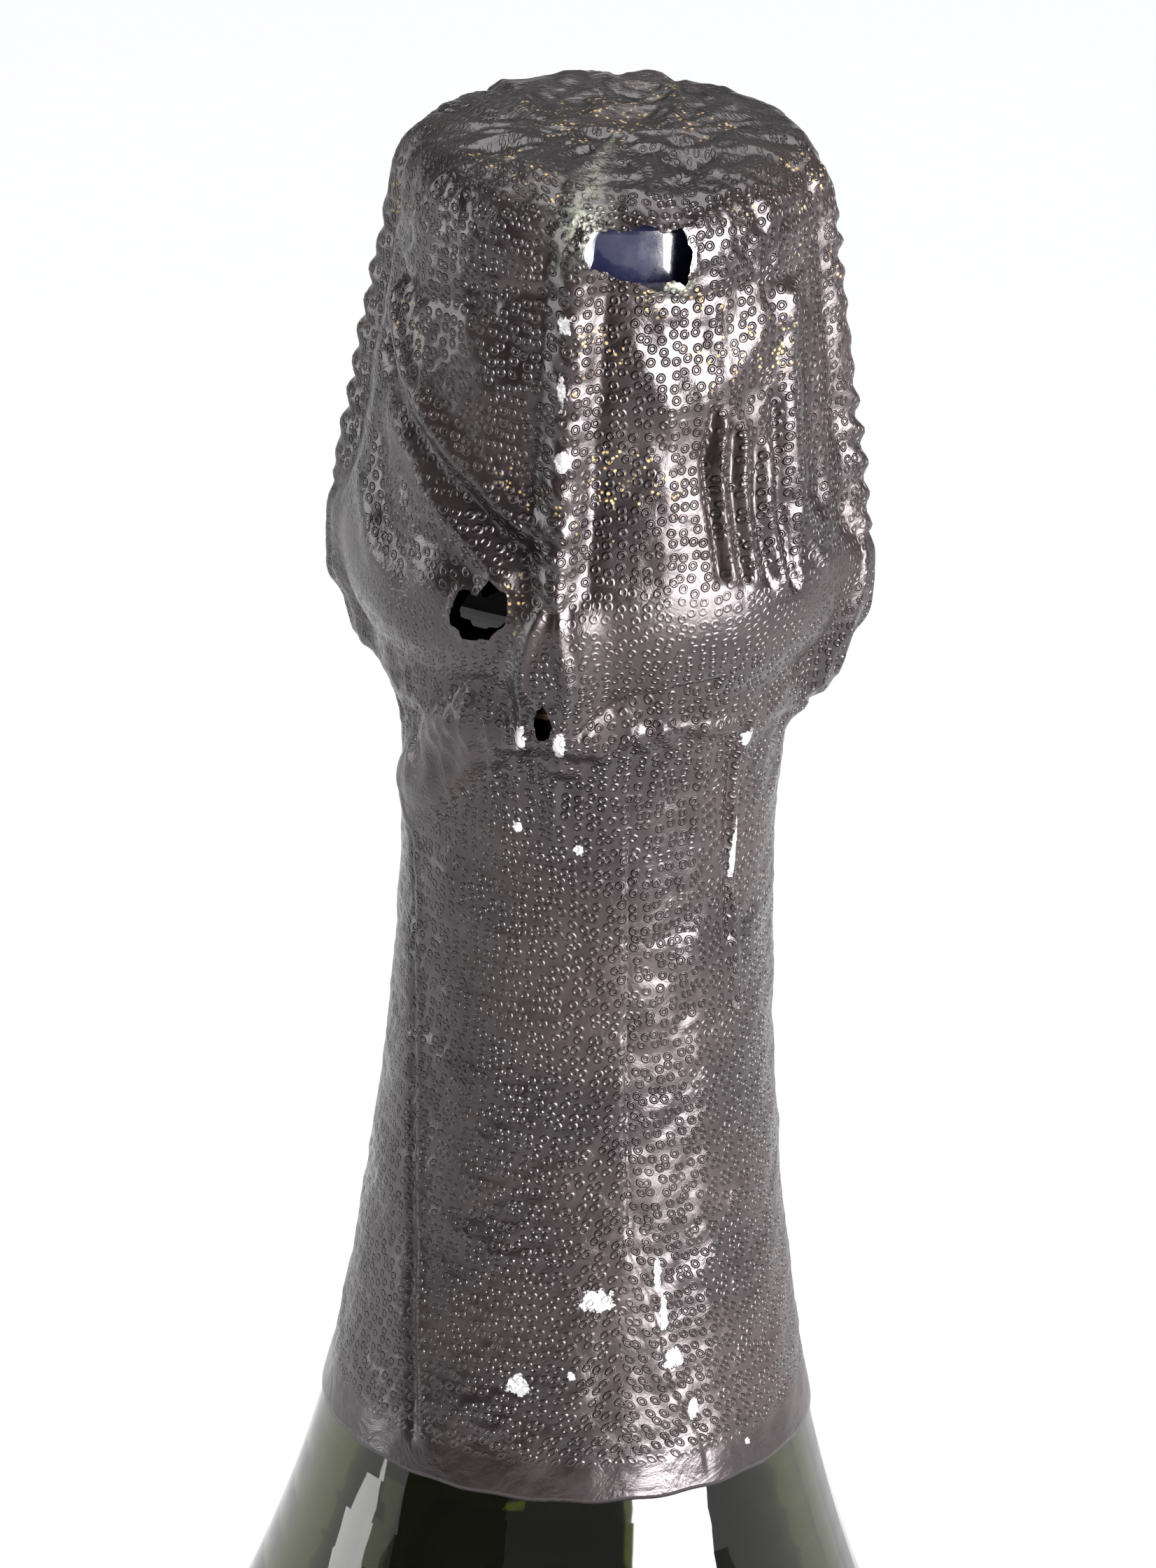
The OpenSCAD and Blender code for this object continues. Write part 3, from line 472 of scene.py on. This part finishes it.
# How far the gathered top stands off its smooth dome: the sum of what the crown lists
def crownShape(a, r0):
    c, turn = headForm["crown"], np.radians(a)
    level = placeOnTurn(a, r0, 0)
    spread = r0 / c["spread"]
    swirl = np.sin(c["swirlFolds"] * turn + c["swirlTurn"] * spread)
    lift = c["swirl"] * swirl * np.clip(spread, 0, 1) * np.clip(c["swirlOut"] - spread, 0, 1)
    for height, size, seed in c["creases"]:
        lift += height * creases(level, size, seed)
    wave, shift, waves = c["flapWave"]
    ripple, ripples = c["flapRipple"]
    edge = c["flapRadius"] + wave * np.sin(np.radians(a + shift) * waves) ** 2
    edge += ripple * np.sin(ripples * turn)
    full, degrees, sharp = c["flapReach"]
    front = np.clip(full - np.abs(turnGap(a, c["flapTurn"])) / degrees, 0, 1)
    lift += c["flap"] * np.clip(front * sharp, 0, 1) / (1 + np.exp(-(r0 - edge) / c["flapStep"]))
    (x, y), (wide, deep) = c["cornerAt"], c["cornerHalf"]
    return lift + c["corner"] * bell(level[..., 0] - x, wide) * bell(level[..., 1] - y, deep)


# How far each place is from the edge of a torn hole, below zero inside one: the least of the distances
# to the outlines, made ragged by noise
def tornEdge(a, z, r0, high):
    torn = headForm["torn"]
    edge = np.full(a.shape, torn["none"])
    for outline in holes.values():
        edge = np.minimum(edge, outlineGap(a, z, r0, outline))
    place = placeOnTurn(a, r0, z + ringZ)
    for height, size, seed in torn["ragged"]:
        edge = edge + height * lumps(place, size, seed)
    return np.where(high > 0.5, torn["none"], edge)


# Faces whose four corners lie in a hole go, and the corners of the rest slide out to the hole's edge,
# down the slope of its distance
def tearOpen(points, edge):
    torn, gone = headForm["torn"], edge < 0
    corner = gone[:-1] & gone[1:]
    slopeA = (np.roll(edge, -1, 1) - np.roll(edge, 1, 1)) / 2
    slopeR = np.gradient(edge, axis=0)
    stepA = (np.roll(points, -1, 1) - np.roll(points, 1, 1)) / 2
    stepR = np.gradient(points, axis=0)
    steep = np.maximum(slopeA ** 2 + slopeR ** 2, torn["leastSlope"])
    pull = np.where(gone & (edge > -torn["reach"]), -edge / steep, 0)
    for slope, step in ((slopeA, stepA), (slopeR, stepR)):
        points = points + np.clip(pull * slope, -1, 1)[..., None] * step
    return points, ~(corner & np.roll(corner, -1, 1))


# The length along a circle from a middle angle, without a jump at half a turn
def arcLength(a, middle, radius):
    return (a - middle) * math.pi / 180 * radius


# The angles of a sheet's columns, from its seam once round, in as many rows as it has
def sheetTurns(form):
    start = form["seamTurn"]
    return np.linspace(start, start + 360, form["columns"], endpoint=False)[None, :].repeat(form["rows"], 0)


# The head stands off its smooth form along that form's own outward direction, and its torn edges curl
def makeHead():
    line, run = smoothLine(headLine, headForm["rows"])
    a = sheetTurns(headForm)
    high = fade(run[:, None], headForm["crownFrom"], headForm["crownFade"]) * np.ones_like(a)
    r0, z = smoothHead(a, line)
    edge = tornEdge(a, z, r0, high)
    lift = foilShape(a, z, r0, high) + high * crownShape(a, r0)
    lift += headForm["torn"]["curl"] * bell(np.maximum(edge, 0), headForm["torn"]["curlHalf"])
    slopeR, slopeZ = np.gradient(r0, axis=0), np.gradient(z, axis=0)
    size = np.hypot(slopeR, slopeZ)
    points = placeOnTurn(a, r0 + lift * slopeZ / size, z - lift * slopeR / size + ringZ)
    points, keep = tearOpen(points, edge)
    flat = np.stack([arcLength(a, headForm["seamTurn"] + 180, r0), run[:, None] + 0 * a], -1)
    top = [0, 0, points[-1, :, 2].mean()]
    return gridMesh("foil_head_sheet", points, foilFinish(a, z, r0, high, edge), flat, keep, top)


# The sleeve alone. Its lower edge is ragged and turns in to the glass, and its upper edge is tucked
# under the head. The sheet lies flat near the hem, where only a share of its folds is left.
sleeveForm = {
    "columns": 520, "rows": 150, "seamTurn": -76.4,
    "hem": {"ragged": 0.06, "ripples": 23, "wear": 0.14, "flatOver": 4.5, "share": 0.08,
            "turnIn": 0.24, "turnUp": 0.02, "rolled": 0.25},
    "tuck": {"overlap": 0.3, "depth": 0.05, "from": 0.1, "fade": 0.15}}


# The sleeve follows the neck from its hem up to the tear
def makeSleeve():
    hem, tuck = sleeveForm["hem"], sleeveForm["tuck"]
    a = sheetTurns(sleeveForm)
    share = np.linspace(0, 1, sleeveForm["rows"])[:, None]
    low = foil["skirt"] + hem["ragged"] * np.sin(np.radians(a) * hem["ripples"])
    z = low + share * (tearLine(a) + tuck["overlap"] - low)
    r0 = neckRadius(z) + foil["ease"]
    high = np.zeros(a.shape)
    lift = foilShape(a, z, r0, high) * np.clip((z - foil["skirt"]) / hem["flatOver"], hem["share"], 1)
    lift -= tuck["depth"] * fade(z - tearLine(a), -tuck["from"], tuck["fade"])
    points = placeOnTurn(a, r0 + lift, z + ringZ)
    turned = placeOnTurn(a[:1], r0[:1] - hem["turnIn"], z[:1] + hem["turnUp"] + ringZ)
    flat = np.stack([arcLength(a, sleeveForm["seamTurn"] + 180, r0), z - foil["skirt"]], -1)
    finish = foilFinish(a, z, r0, high, np.abs(z - foil["skirt"]) + hem["wear"])
    return gridMesh("foil_sleeve_sheet", np.concatenate([turned, points]),
                    np.concatenate([finish[:1], finish]),
                    np.concatenate([flat[:1] - [0, hem["rolled"]], flat]))


# The nodes of a material or a world, with a short call for each kind that is used here
class Board:
    def __init__(self, tree):
        self.nodes, self.links = tree.nodes, tree.links

    # A node with its settings. Inputs go by name, or as i and a number, and are values or other outputs.
    def put(self, kind, settings=None, **inputs):
        made = self.nodes.new("ShaderNode" + kind)
        for key, value in (settings or {}).items():
            setattr(made, key, value)
        for key, value in inputs.items():
            self.join(made.inputs[int(key[1:])] if key[1:].isdigit() else made.inputs[key], value)
        return made

    def join(self, socket, value):
        if isinstance(value, bpy.types.NodeSocket):
            self.links.new(value, socket)
        else:
            socket.default_value = value

    def maths(self, operation, first, second=None, clamp=False):
        made = self.put("Math", {"operation": operation, "use_clamp": clamp}, i0=first)
        if second is not None:
            self.join(made.inputs[1], second)
        return made.outputs[0]

    def times(self, *values):
        total = values[0]
        for value in values[1:]:
            total = self.maths("MULTIPLY", total, value)
        return total

    def plus(self, first, second, clamp=False):
        return self.maths("ADD", first, second, clamp)

    def colours(self, factor, first, second):
        return self.put("Mix", {"data_type": "RGBA"}, i0=factor, i6=first, i7=second).outputs[2]

    # A number that goes from start to end as value goes from low to high
    def ramp(self, value, low, high, start=0.0, end=1.0):
        return self.put("MapRange", {"interpolation_type": "SMOOTHSTEP"},
                        i0=value, i1=low, i2=high, i3=start, i4=end).outputs[0]

    def noise(self, place, scale, detail, roughness=0.5, distortion=0.0):
        return self.put("TexNoise", Vector=place, Scale=scale, Detail=detail, Roughness=roughness,
                        Distortion=distortion).outputs[0]

    def objectPlace(self):
        return self.put("TexCoord").outputs["Object"]

    def bump(self, height, strength, distance):
        return self.put("Bump", Height=height, Strength=strength, Distance=distance).outputs[0]


def newMaterial(name):
    made = bpy.data.materials.new(name)
    made.use_nodes = True
    made.node_tree.nodes.clear()
    board = Board(made.node_tree)
    shader = board.put("BsdfPrincipled")
    board.put("OutputMaterial", i0=shader.outputs[0])
    return made, board, shader.inputs


# In each look a noise is (scale, detail, roughness, distortion), and a cut is the range of a number
# over which what it drives goes from none to full
foilLook = {
    "lacquer": (0.0070, 0.0048, 0.0052, 1), "warm": (0.0150, 0.0092, 0.0088, 1),
    "silver": (0.62, 0.62, 0.63, 1), "gold": (0.42, 0.29, 0.12, 1), "bloom": (0.42, 0.45, 0.36, 1),
    "tint": (1.0, 0.93, 0.95, 1), "ior": 1.62, "toneNoise": (110.0, 4.0), "toneCut": (0.35, 0.7),
    "pitch": 0.00087, "randomness": 0.55, "emboss": 0.00013, "ringUp": (0.12, 0.26),
    "ringDown": (0.28, 0.43), "dentNoise": (420.0, 3.0, 0.55), "dentCut": (0.3, 0.6), "dented": 0.35,
    "wrinkle": 0.00016, "wrinkleNoise": (260.0, 6.0, 0.62, 0.8),
    "grain": 0.00002, "grainNoise": (900.0, 5.0, 0.6),
    "roughness": 0.22, "smoother": 0.05, "rougher": 0.13, "dullCut": (0.3, 0.75),
    "scratched": 0.06, "scratchStretch": (2600.0, 2600.0, 260.0), "scratchNoise": (1.0, 2.0),
    "chipNoise": (1500.0, 4.0, 0.7), "chipSpread": 1.1, "silverCut": (0.62, 0.7), "silverMetal": 0.55,
    "speckScale": 2300.0, "speckSize": (0.2, 0.34), "speckNoise": (700.0, 3.0),
    "speckCut": (0.36, 0.44), "speckCover": 0.85, "bloomCut": (0.42, 0.6), "bloomCover": 0.8, "dusty": 0.4}


def makeFoilMaterial(look):
    made, board, shader = newMaterial("foil_lacquer")
    sheet = board.put("UVMap", {"uv_map": "sheet"}).outputs[0]
    place = board.objectPlace()
    finish = board.put("Attribute", {"attribute_name": "finish", "attribute_type": "GEOMETRY"}).outputs
    silverMask, dustMask, bloomMask = board.put("SeparateColor", i0=finish["Color"]).outputs
    # the emboss: a small raised ring in each cell of an uneven honeycomb
    cells = board.put("TexVoronoi", {"voronoi_dimensions": "2D", "feature": "F1"}, Vector=sheet,
                      Scale=1 / look["pitch"], Randomness=look["randomness"]).outputs["Distance"]
    ring = board.times(board.ramp(cells, *look["ringUp"]), board.ramp(cells, *look["ringDown"], 1.0, 0.0))
    dents = board.ramp(board.noise(place, *look["dentNoise"]), *look["dentCut"], look["dented"], 1.0)
    raised = board.times(ring, finish["Alpha"], dents)
    # fine folds, grain and scratches of the sheet
    folded = board.maths("SUBTRACT", board.noise(place, *look["wrinkleNoise"]), 0.5)
    folded = board.maths("ABSOLUTE", folded)
    relief = board.plus(board.times(raised, look["emboss"]), board.times(folded, look["wrinkle"]))
    relief = board.plus(relief, board.times(board.noise(place, *look["grainNoise"]), look["grain"]))
    drawn = board.put("Mapping", Vector=place, Scale=look["scratchStretch"]).outputs[0]
    scratches = board.noise(drawn, *look["scratchNoise"])
    # bare silver with ragged edges, gold specks of dust and pale bloom
    chips = board.noise(place, *look["chipNoise"])
    ragged = board.times(board.maths("SUBTRACT", chips, 0.5), look["chipSpread"])
    silver = board.ramp(board.plus(silverMask, ragged), *look["silverCut"])
    dots = board.put("TexVoronoi", {"feature": "F1"}, Vector=place, Scale=look["speckScale"])
    dusted = board.times(board.noise(place, *look["speckNoise"]), dustMask)
    speck = board.times(board.ramp(dots.outputs["Distance"], *look["speckSize"], 1.0, 0.0),
                        board.ramp(dusted, *look["speckCut"]))
    film = board.times(bloomMask, board.ramp(chips, *look["bloomCut"]))
    tone = board.noise(place, *look["toneNoise"])
    base = board.colours(board.ramp(tone, *look["toneCut"]), look["lacquer"], look["warm"])
    base = board.colours(board.times(speck, look["speckCover"]), base, look["gold"])
    base = board.colours(board.times(film, look["bloomCover"]), base, look["bloom"])
    board.join(shader["Base Color"], board.colours(silver, base, look["silver"]))
    smooth, rough = look["roughness"] - look["smoother"], look["roughness"] + look["rougher"]
    dull = board.ramp(tone, *look["dullCut"], smooth, rough)
    dull = board.plus(dull, board.times(scratches, look["scratched"]))
    covered = board.times(board.maths("MAXIMUM", film, speck), look["dusty"])
    board.join(shader["Roughness"], board.plus(dull, covered, clamp=True))
    board.join(shader["Metallic"], board.times(silver, look["silverMetal"]))
    shader["IOR"].default_value = look["ior"]
    shader["Specular Tint"].default_value = look["tint"]
    board.join(shader["Normal"], board.bump(relief, 1.0, 1.0))
    return made


glassLook = {"dark": (0.042, 0.050, 0.011, 1), "light": (0.056, 0.064, 0.015, 1),
             "driftNoise": (18.0, 3.0), "waveNoise": (34.0, 2.0), "wave": 0.25, "waveHeight": 0.0004,
             "smearNoise": (60.0, 6.0), "smearCut": (0.45, 0.8), "clean": 0.02, "smeared": 0.07,
             "ior": 1.52}


def makeGlassMaterial(look):
    made, board, shader = newMaterial("dark_green_glass")
    place = board.objectPlace()
    drift = board.noise(place, *look["driftNoise"])
    board.join(shader["Base Color"], board.colours(drift, look["dark"], look["light"]))
    waves = board.noise(place, *look["waveNoise"])
    board.join(shader["Normal"], board.bump(waves, look["wave"], look["waveHeight"]))
    smears = board.noise(place, *look["smearNoise"])
    board.join(shader["Roughness"], board.ramp(smears, *look["smearCut"], look["clean"], look["smeared"]))
    shader["IOR"].default_value = look["ior"]
    shader["Transmission Weight"].default_value = 1.0
    return made


wineLook = {"deep": (0.62, 0.52, 0.16, 1), "pale": (0.70, 0.60, 0.22, 1), "hazeNoise": (25.0, 3.0),
            "ior": 1.34}


def makeWineMaterial(look):
    made, board, shader = newMaterial("wine")
    haze = board.noise(board.objectPlace(), *look["hazeNoise"])
    board.join(shader["Base Color"], board.colours(haze, look["deep"], look["pale"]))
    shader["IOR"].default_value = look["ior"]
    shader["Roughness"].default_value = 0.0
    shader["Transmission Weight"].default_value = 1.0
    return made


# Pressed cork has small granules with dark seams, natural cork larger grains with faint ones: each
# kind is (scale of the grains, how light a seam is)
corkLook = {"pressed_cork": (420.0, 0.55), "natural_cork": (150.0, 0.92),
            "brown": (0.42, 0.25, 0.12, 1), "tan": (0.66, 0.45, 0.26, 1), "seam": (0.12, 0.06, 0.03, 1),
            "pore": (0.16, 0.08, 0.04, 1), "seamCut": (0.02, 0.07), "poreNoise": (900.0, 5.0),
            "poreCut": (0.62, 0.7), "seamHeight": 0.6, "relief": 0.6, "depth": 0.0003, "roughness": 0.8}


def makeCorkMaterial(name, look):
    made, board, shader = newMaterial(name)
    grain, seamLight = look[name]
    place = board.objectPlace()
    cells = board.put("TexVoronoi", {"feature": "F1"}, Vector=place, Scale=grain)
    seams = board.put("TexVoronoi", {"feature": "DISTANCE_TO_EDGE"}, Vector=place, Scale=grain)
    mixed = board.put("SeparateColor", i0=cells.outputs["Color"]).outputs[0]
    gap = board.ramp(seams.outputs["Distance"], *look["seamCut"], seamLight, 1.0)
    shade = board.colours(gap, look["seam"], board.colours(mixed, look["brown"], look["tan"]))
    pores = board.noise(place, *look["poreNoise"])
    shade = board.colours(board.ramp(pores, *look["poreCut"]), shade, look["pore"])
    board.join(shader["Base Color"], shade)
    relief = board.plus(board.times(gap, look["seamHeight"]), pores)
    board.join(shader["Normal"], board.bump(relief, look["relief"], look["depth"]))
    shader["Roughness"].default_value = look["roughness"]
    return made


plaqueLook = {"navy": (0.006, 0.007, 0.022, 1), "worn": (0.012, 0.013, 0.036, 1),
              "rust": (0.30, 0.16, 0.07, 1), "chipNoise": (600.0, 6.0, 0.7), "rustCut": (0.68, 0.72),
              "toneNoise": (90.0, 3.0), "dullCut": (0.3, 0.75), "gloss": 0.14, "dull": 0.4,
              "relief": 0.3, "depth": 0.0001, "coat": 0.6}


def makePlaqueMaterial(look):
    made, board, shader = newMaterial("plaque_paint")
    place = board.objectPlace()
    chips = board.noise(place, *look["chipNoise"])
    paint = board.colours(board.noise(place, *look["toneNoise"]), look["navy"], look["worn"])
    rusted = board.ramp(chips, *look["rustCut"])
    board.join(shader["Base Color"], board.colours(rusted, paint, look["rust"]))
    board.join(shader["Roughness"], board.ramp(chips, *look["dullCut"], look["gloss"], look["dull"]))
    board.join(shader["Normal"], board.bump(chips, look["relief"], look["depth"]))
    shader["Coat Weight"].default_value = look["coat"]
    return made


# Each kind of wire is (fresh colour, stained colour, scale of the stains)
wireLook = {"zinc_wire": ((0.56, 0.60, 0.66, 1), (0.34, 0.36, 0.35, 1), 700.0),
            "belt_wire": ((0.62, 0.42, 0.16, 1), (0.30, 0.17, 0.07, 1), 500.0),
            "stainNoise": (6.0, 0.65), "stainCut": (0.48, 0.64), "dullCut": (0.4, 0.7), "gloss": 0.28,
            "dull": 0.7, "metal": 0.95, "stainMetal": 0.35, "relief": 0.5, "depth": 0.0002}


def makeWireMaterial(name, look):
    made, board, shader = newMaterial(name)
    fresh, stained, scale = look[name]
    spots = board.noise(board.objectPlace(), scale, *look["stainNoise"])
    stain = board.ramp(spots, *look["stainCut"])
    board.join(shader["Base Color"], board.colours(stain, fresh, stained))
    board.join(shader["Roughness"], board.ramp(spots, *look["dullCut"], look["gloss"], look["dull"]))
    board.join(shader["Metallic"], board.ramp(stain, 0.0, 1.0, look["metal"], look["stainMetal"]))
    board.join(shader["Normal"], board.bump(spots, look["relief"], look["depth"]))
    return made


# Gives a node of the frame its material in place of the plain one
def dress(node, look):
    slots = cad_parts[node].material_slots
    for s in slots:
        s.material = look
    if not slots:
        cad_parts[node].data.materials.append(look)


foilMaterial = makeFoilMaterial(foilLook)
head = makeHead()
sleeve = makeSleeve()
for piece, body, node in ((head, "foil_cap", "foil_head"), (sleeve, "bottle", "foil_neck")):
    piece.data.materials.append(foilMaterial)
    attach(piece, body)
    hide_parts(node)
print("foil made:", len(head.data.polygons), len(sleeve.data.polygons))

dress("glass_bottle", makeGlassMaterial(glassLook))
dress("wine", makeWineMaterial(wineLook))
dress("cork_body", makeCorkMaterial("pressed_cork", corkLook))
naturalCork = makeCorkMaterial("natural_cork", corkLook)
dress("cork_disc_upper", naturalCork)
dress("cork_disc_lower", naturalCork)
dress("plaque", makePlaqueMaterial(plaqueLook))
dress("hood_wire", makeWireMaterial("zinc_wire", wireLook))
dress("belt_wire", makeWireMaterial("belt_wire", wireLook))
print("materials given")

# The studio: a pale floor that glows whiter with distance, a white world, soft panels as (name, place,
# width, height, power, colour), and dark cards as (name, place, width, height)
studio = {
    "white": (0.98, 0.985, 1.0, 1), "worldFill": 0.4, "mirrorDim": 0.18, "lookAt": (0, 0, 0.27),
    "floor": {"size": 6.0, "grey": (0.86, 0.86, 0.87, 1), "pale": (0.9, 0.9, 0.9, 1),
              "cloudNoise": (3.0, 2.0), "roughness": 0.9, "glowCut": (0.25, 1.1), "nearGlow": 0.7},
    "panels": (("right_panel", (0.80, -0.68, 0.50), 0.75, 0.95, 58.0, (1.0, 0.97, 0.98)),
               ("left_panel", (-1.1, 0.1, 0.45), 0.35, 0.9, 5.0, (1, 1, 1)),
               ("top_panel", (0.1, 0.5, 1.3), 0.9, 0.7, 7.0, (1, 1, 1))),
    "cards": (("left_card", (-0.85, -0.75, 0.45), 1.1, 1.2), ("front_card", (0.05, -1.3, 0.75), 0.9, 0.8)),
    "cardColour": (0.03, 0.03, 0.03, 1), "cardRoughness": 0.9}


# A flat rectangle round a place, whose corners a turn swings away from level
def rectangle(name, width, height, turn, place):
    corners = [turn @ Vector((x * width / 2, y * height / 2, 0)) + Vector(place)
               for x, y in ((-1, -1), (1, -1), (1, 1), (-1, 1))]
    mesh = bpy.data.meshes.new(name)
    mesh.from_pydata([tuple(c) for c in corners], [], [(0, 1, 2, 3)])
    made = bpy.data.objects.new(name, mesh)
    bpy.context.scene.collection.objects.link(made)
    return made


# The camera, mirrors and glass see the floor glow, and the more so the further away it is
def makeFloor(look):
    floor = rectangle("floor", look["size"], look["size"], Matrix.Identity(3), (0, 0, 0))
    made, board, shader = newMaterial("floor")
    place = board.objectPlace()
    cloudy = board.noise(place, *look["cloudNoise"])
    board.join(shader["Base Color"], board.colours(cloudy, look["grey"], look["pale"]))
    shader["Roughness"].default_value = look["roughness"]
    rays = board.put("LightPath").outputs
    seen = board.maths("MAXIMUM", rays["Is Glossy Ray"], rays["Is Transmission Ray"])
    seen = board.maths("MAXIMUM", rays["Is Camera Ray"], seen)
    away = board.put("VectorMath", {"operation": "LENGTH"}, i0=place).outputs["Value"]
    share = board.times(seen, board.ramp(away, *look["glowCut"], look["nearGlow"], 1.0))
    glow = board.put("Emission", Color=studio["white"], Strength=1.0).outputs[0]
    surface = next(n for n in board.nodes if n.type == "OUTPUT_MATERIAL").inputs[0]
    lit = surface.links[0].from_socket
    board.join(surface, board.put("MixShader", i0=share, i1=lit, i2=glow).outputs[0])
    floor.data.materials.append(made)


# White to the camera and through glass, dimmer to the rest, and a little dimmer still in mirrors
def makeWorld(look):
    world = bpy.data.worlds.new("studio")
    bpy.context.scene.world = world
    world.use_nodes = True
    board = Board(world.node_tree)
    ground = next(n for n in board.nodes if n.type == "BACKGROUND").inputs
    rays = board.put("LightPath").outputs
    seen = board.maths("MAXIMUM", rays["Is Camera Ray"], rays["Is Transmission Ray"])
    seen = board.maths("SUBTRACT", seen, board.times(rays["Is Glossy Ray"], look["mirrorDim"]))
    ground[0].default_value = look["white"]
    strength = board.put("MapRange", {"clamp": False}, i0=seen, i1=0.0, i2=1.0, i3=look["worldFill"],
                         i4=1.0).outputs[0]
    board.join(ground[1], strength)


# The turn that points a panel or a card at the neck
def facing(place):
    return Vector(np.array(studio["lookAt"]) - np.array(place)).to_track_quat("-Z", "Y")


def softPanel(name, place, width, height, power, colour):
    lamp = bpy.data.lights.new(name, "AREA")
    lamp.shape = "RECTANGLE"
    lamp.size, lamp.size_y = width, height
    lamp.energy = power
    lamp.color = colour
    panel = bpy.data.objects.new(name, lamp)
    panel.location = place
    panel.rotation_euler = facing(place).to_euler()
    bpy.context.scene.collection.objects.link(panel)


# A dark card beside the camera, seen only in reflections
def darkCard(name, place, width, height):
    card = rectangle(name, width, height, facing(place), place)
    made, board, shader = newMaterial(name)
    shader["Base Color"].default_value = studio["cardColour"]
    shader["Roughness"].default_value = studio["cardRoughness"]
    card.data.materials.append(made)
    for ray in ("camera", "shadow", "diffuse", "transmission"):
        setattr(card, "visible_" + ray, False)


makeFloor(studio["floor"])
makeWorld(studio)
for panel in studio["panels"]:
    softPanel(*panel)
for card in studio["cards"]:
    darkCard(*card)
bpy.context.scene.view_settings.view_transform = "Standard"
print("studio set")
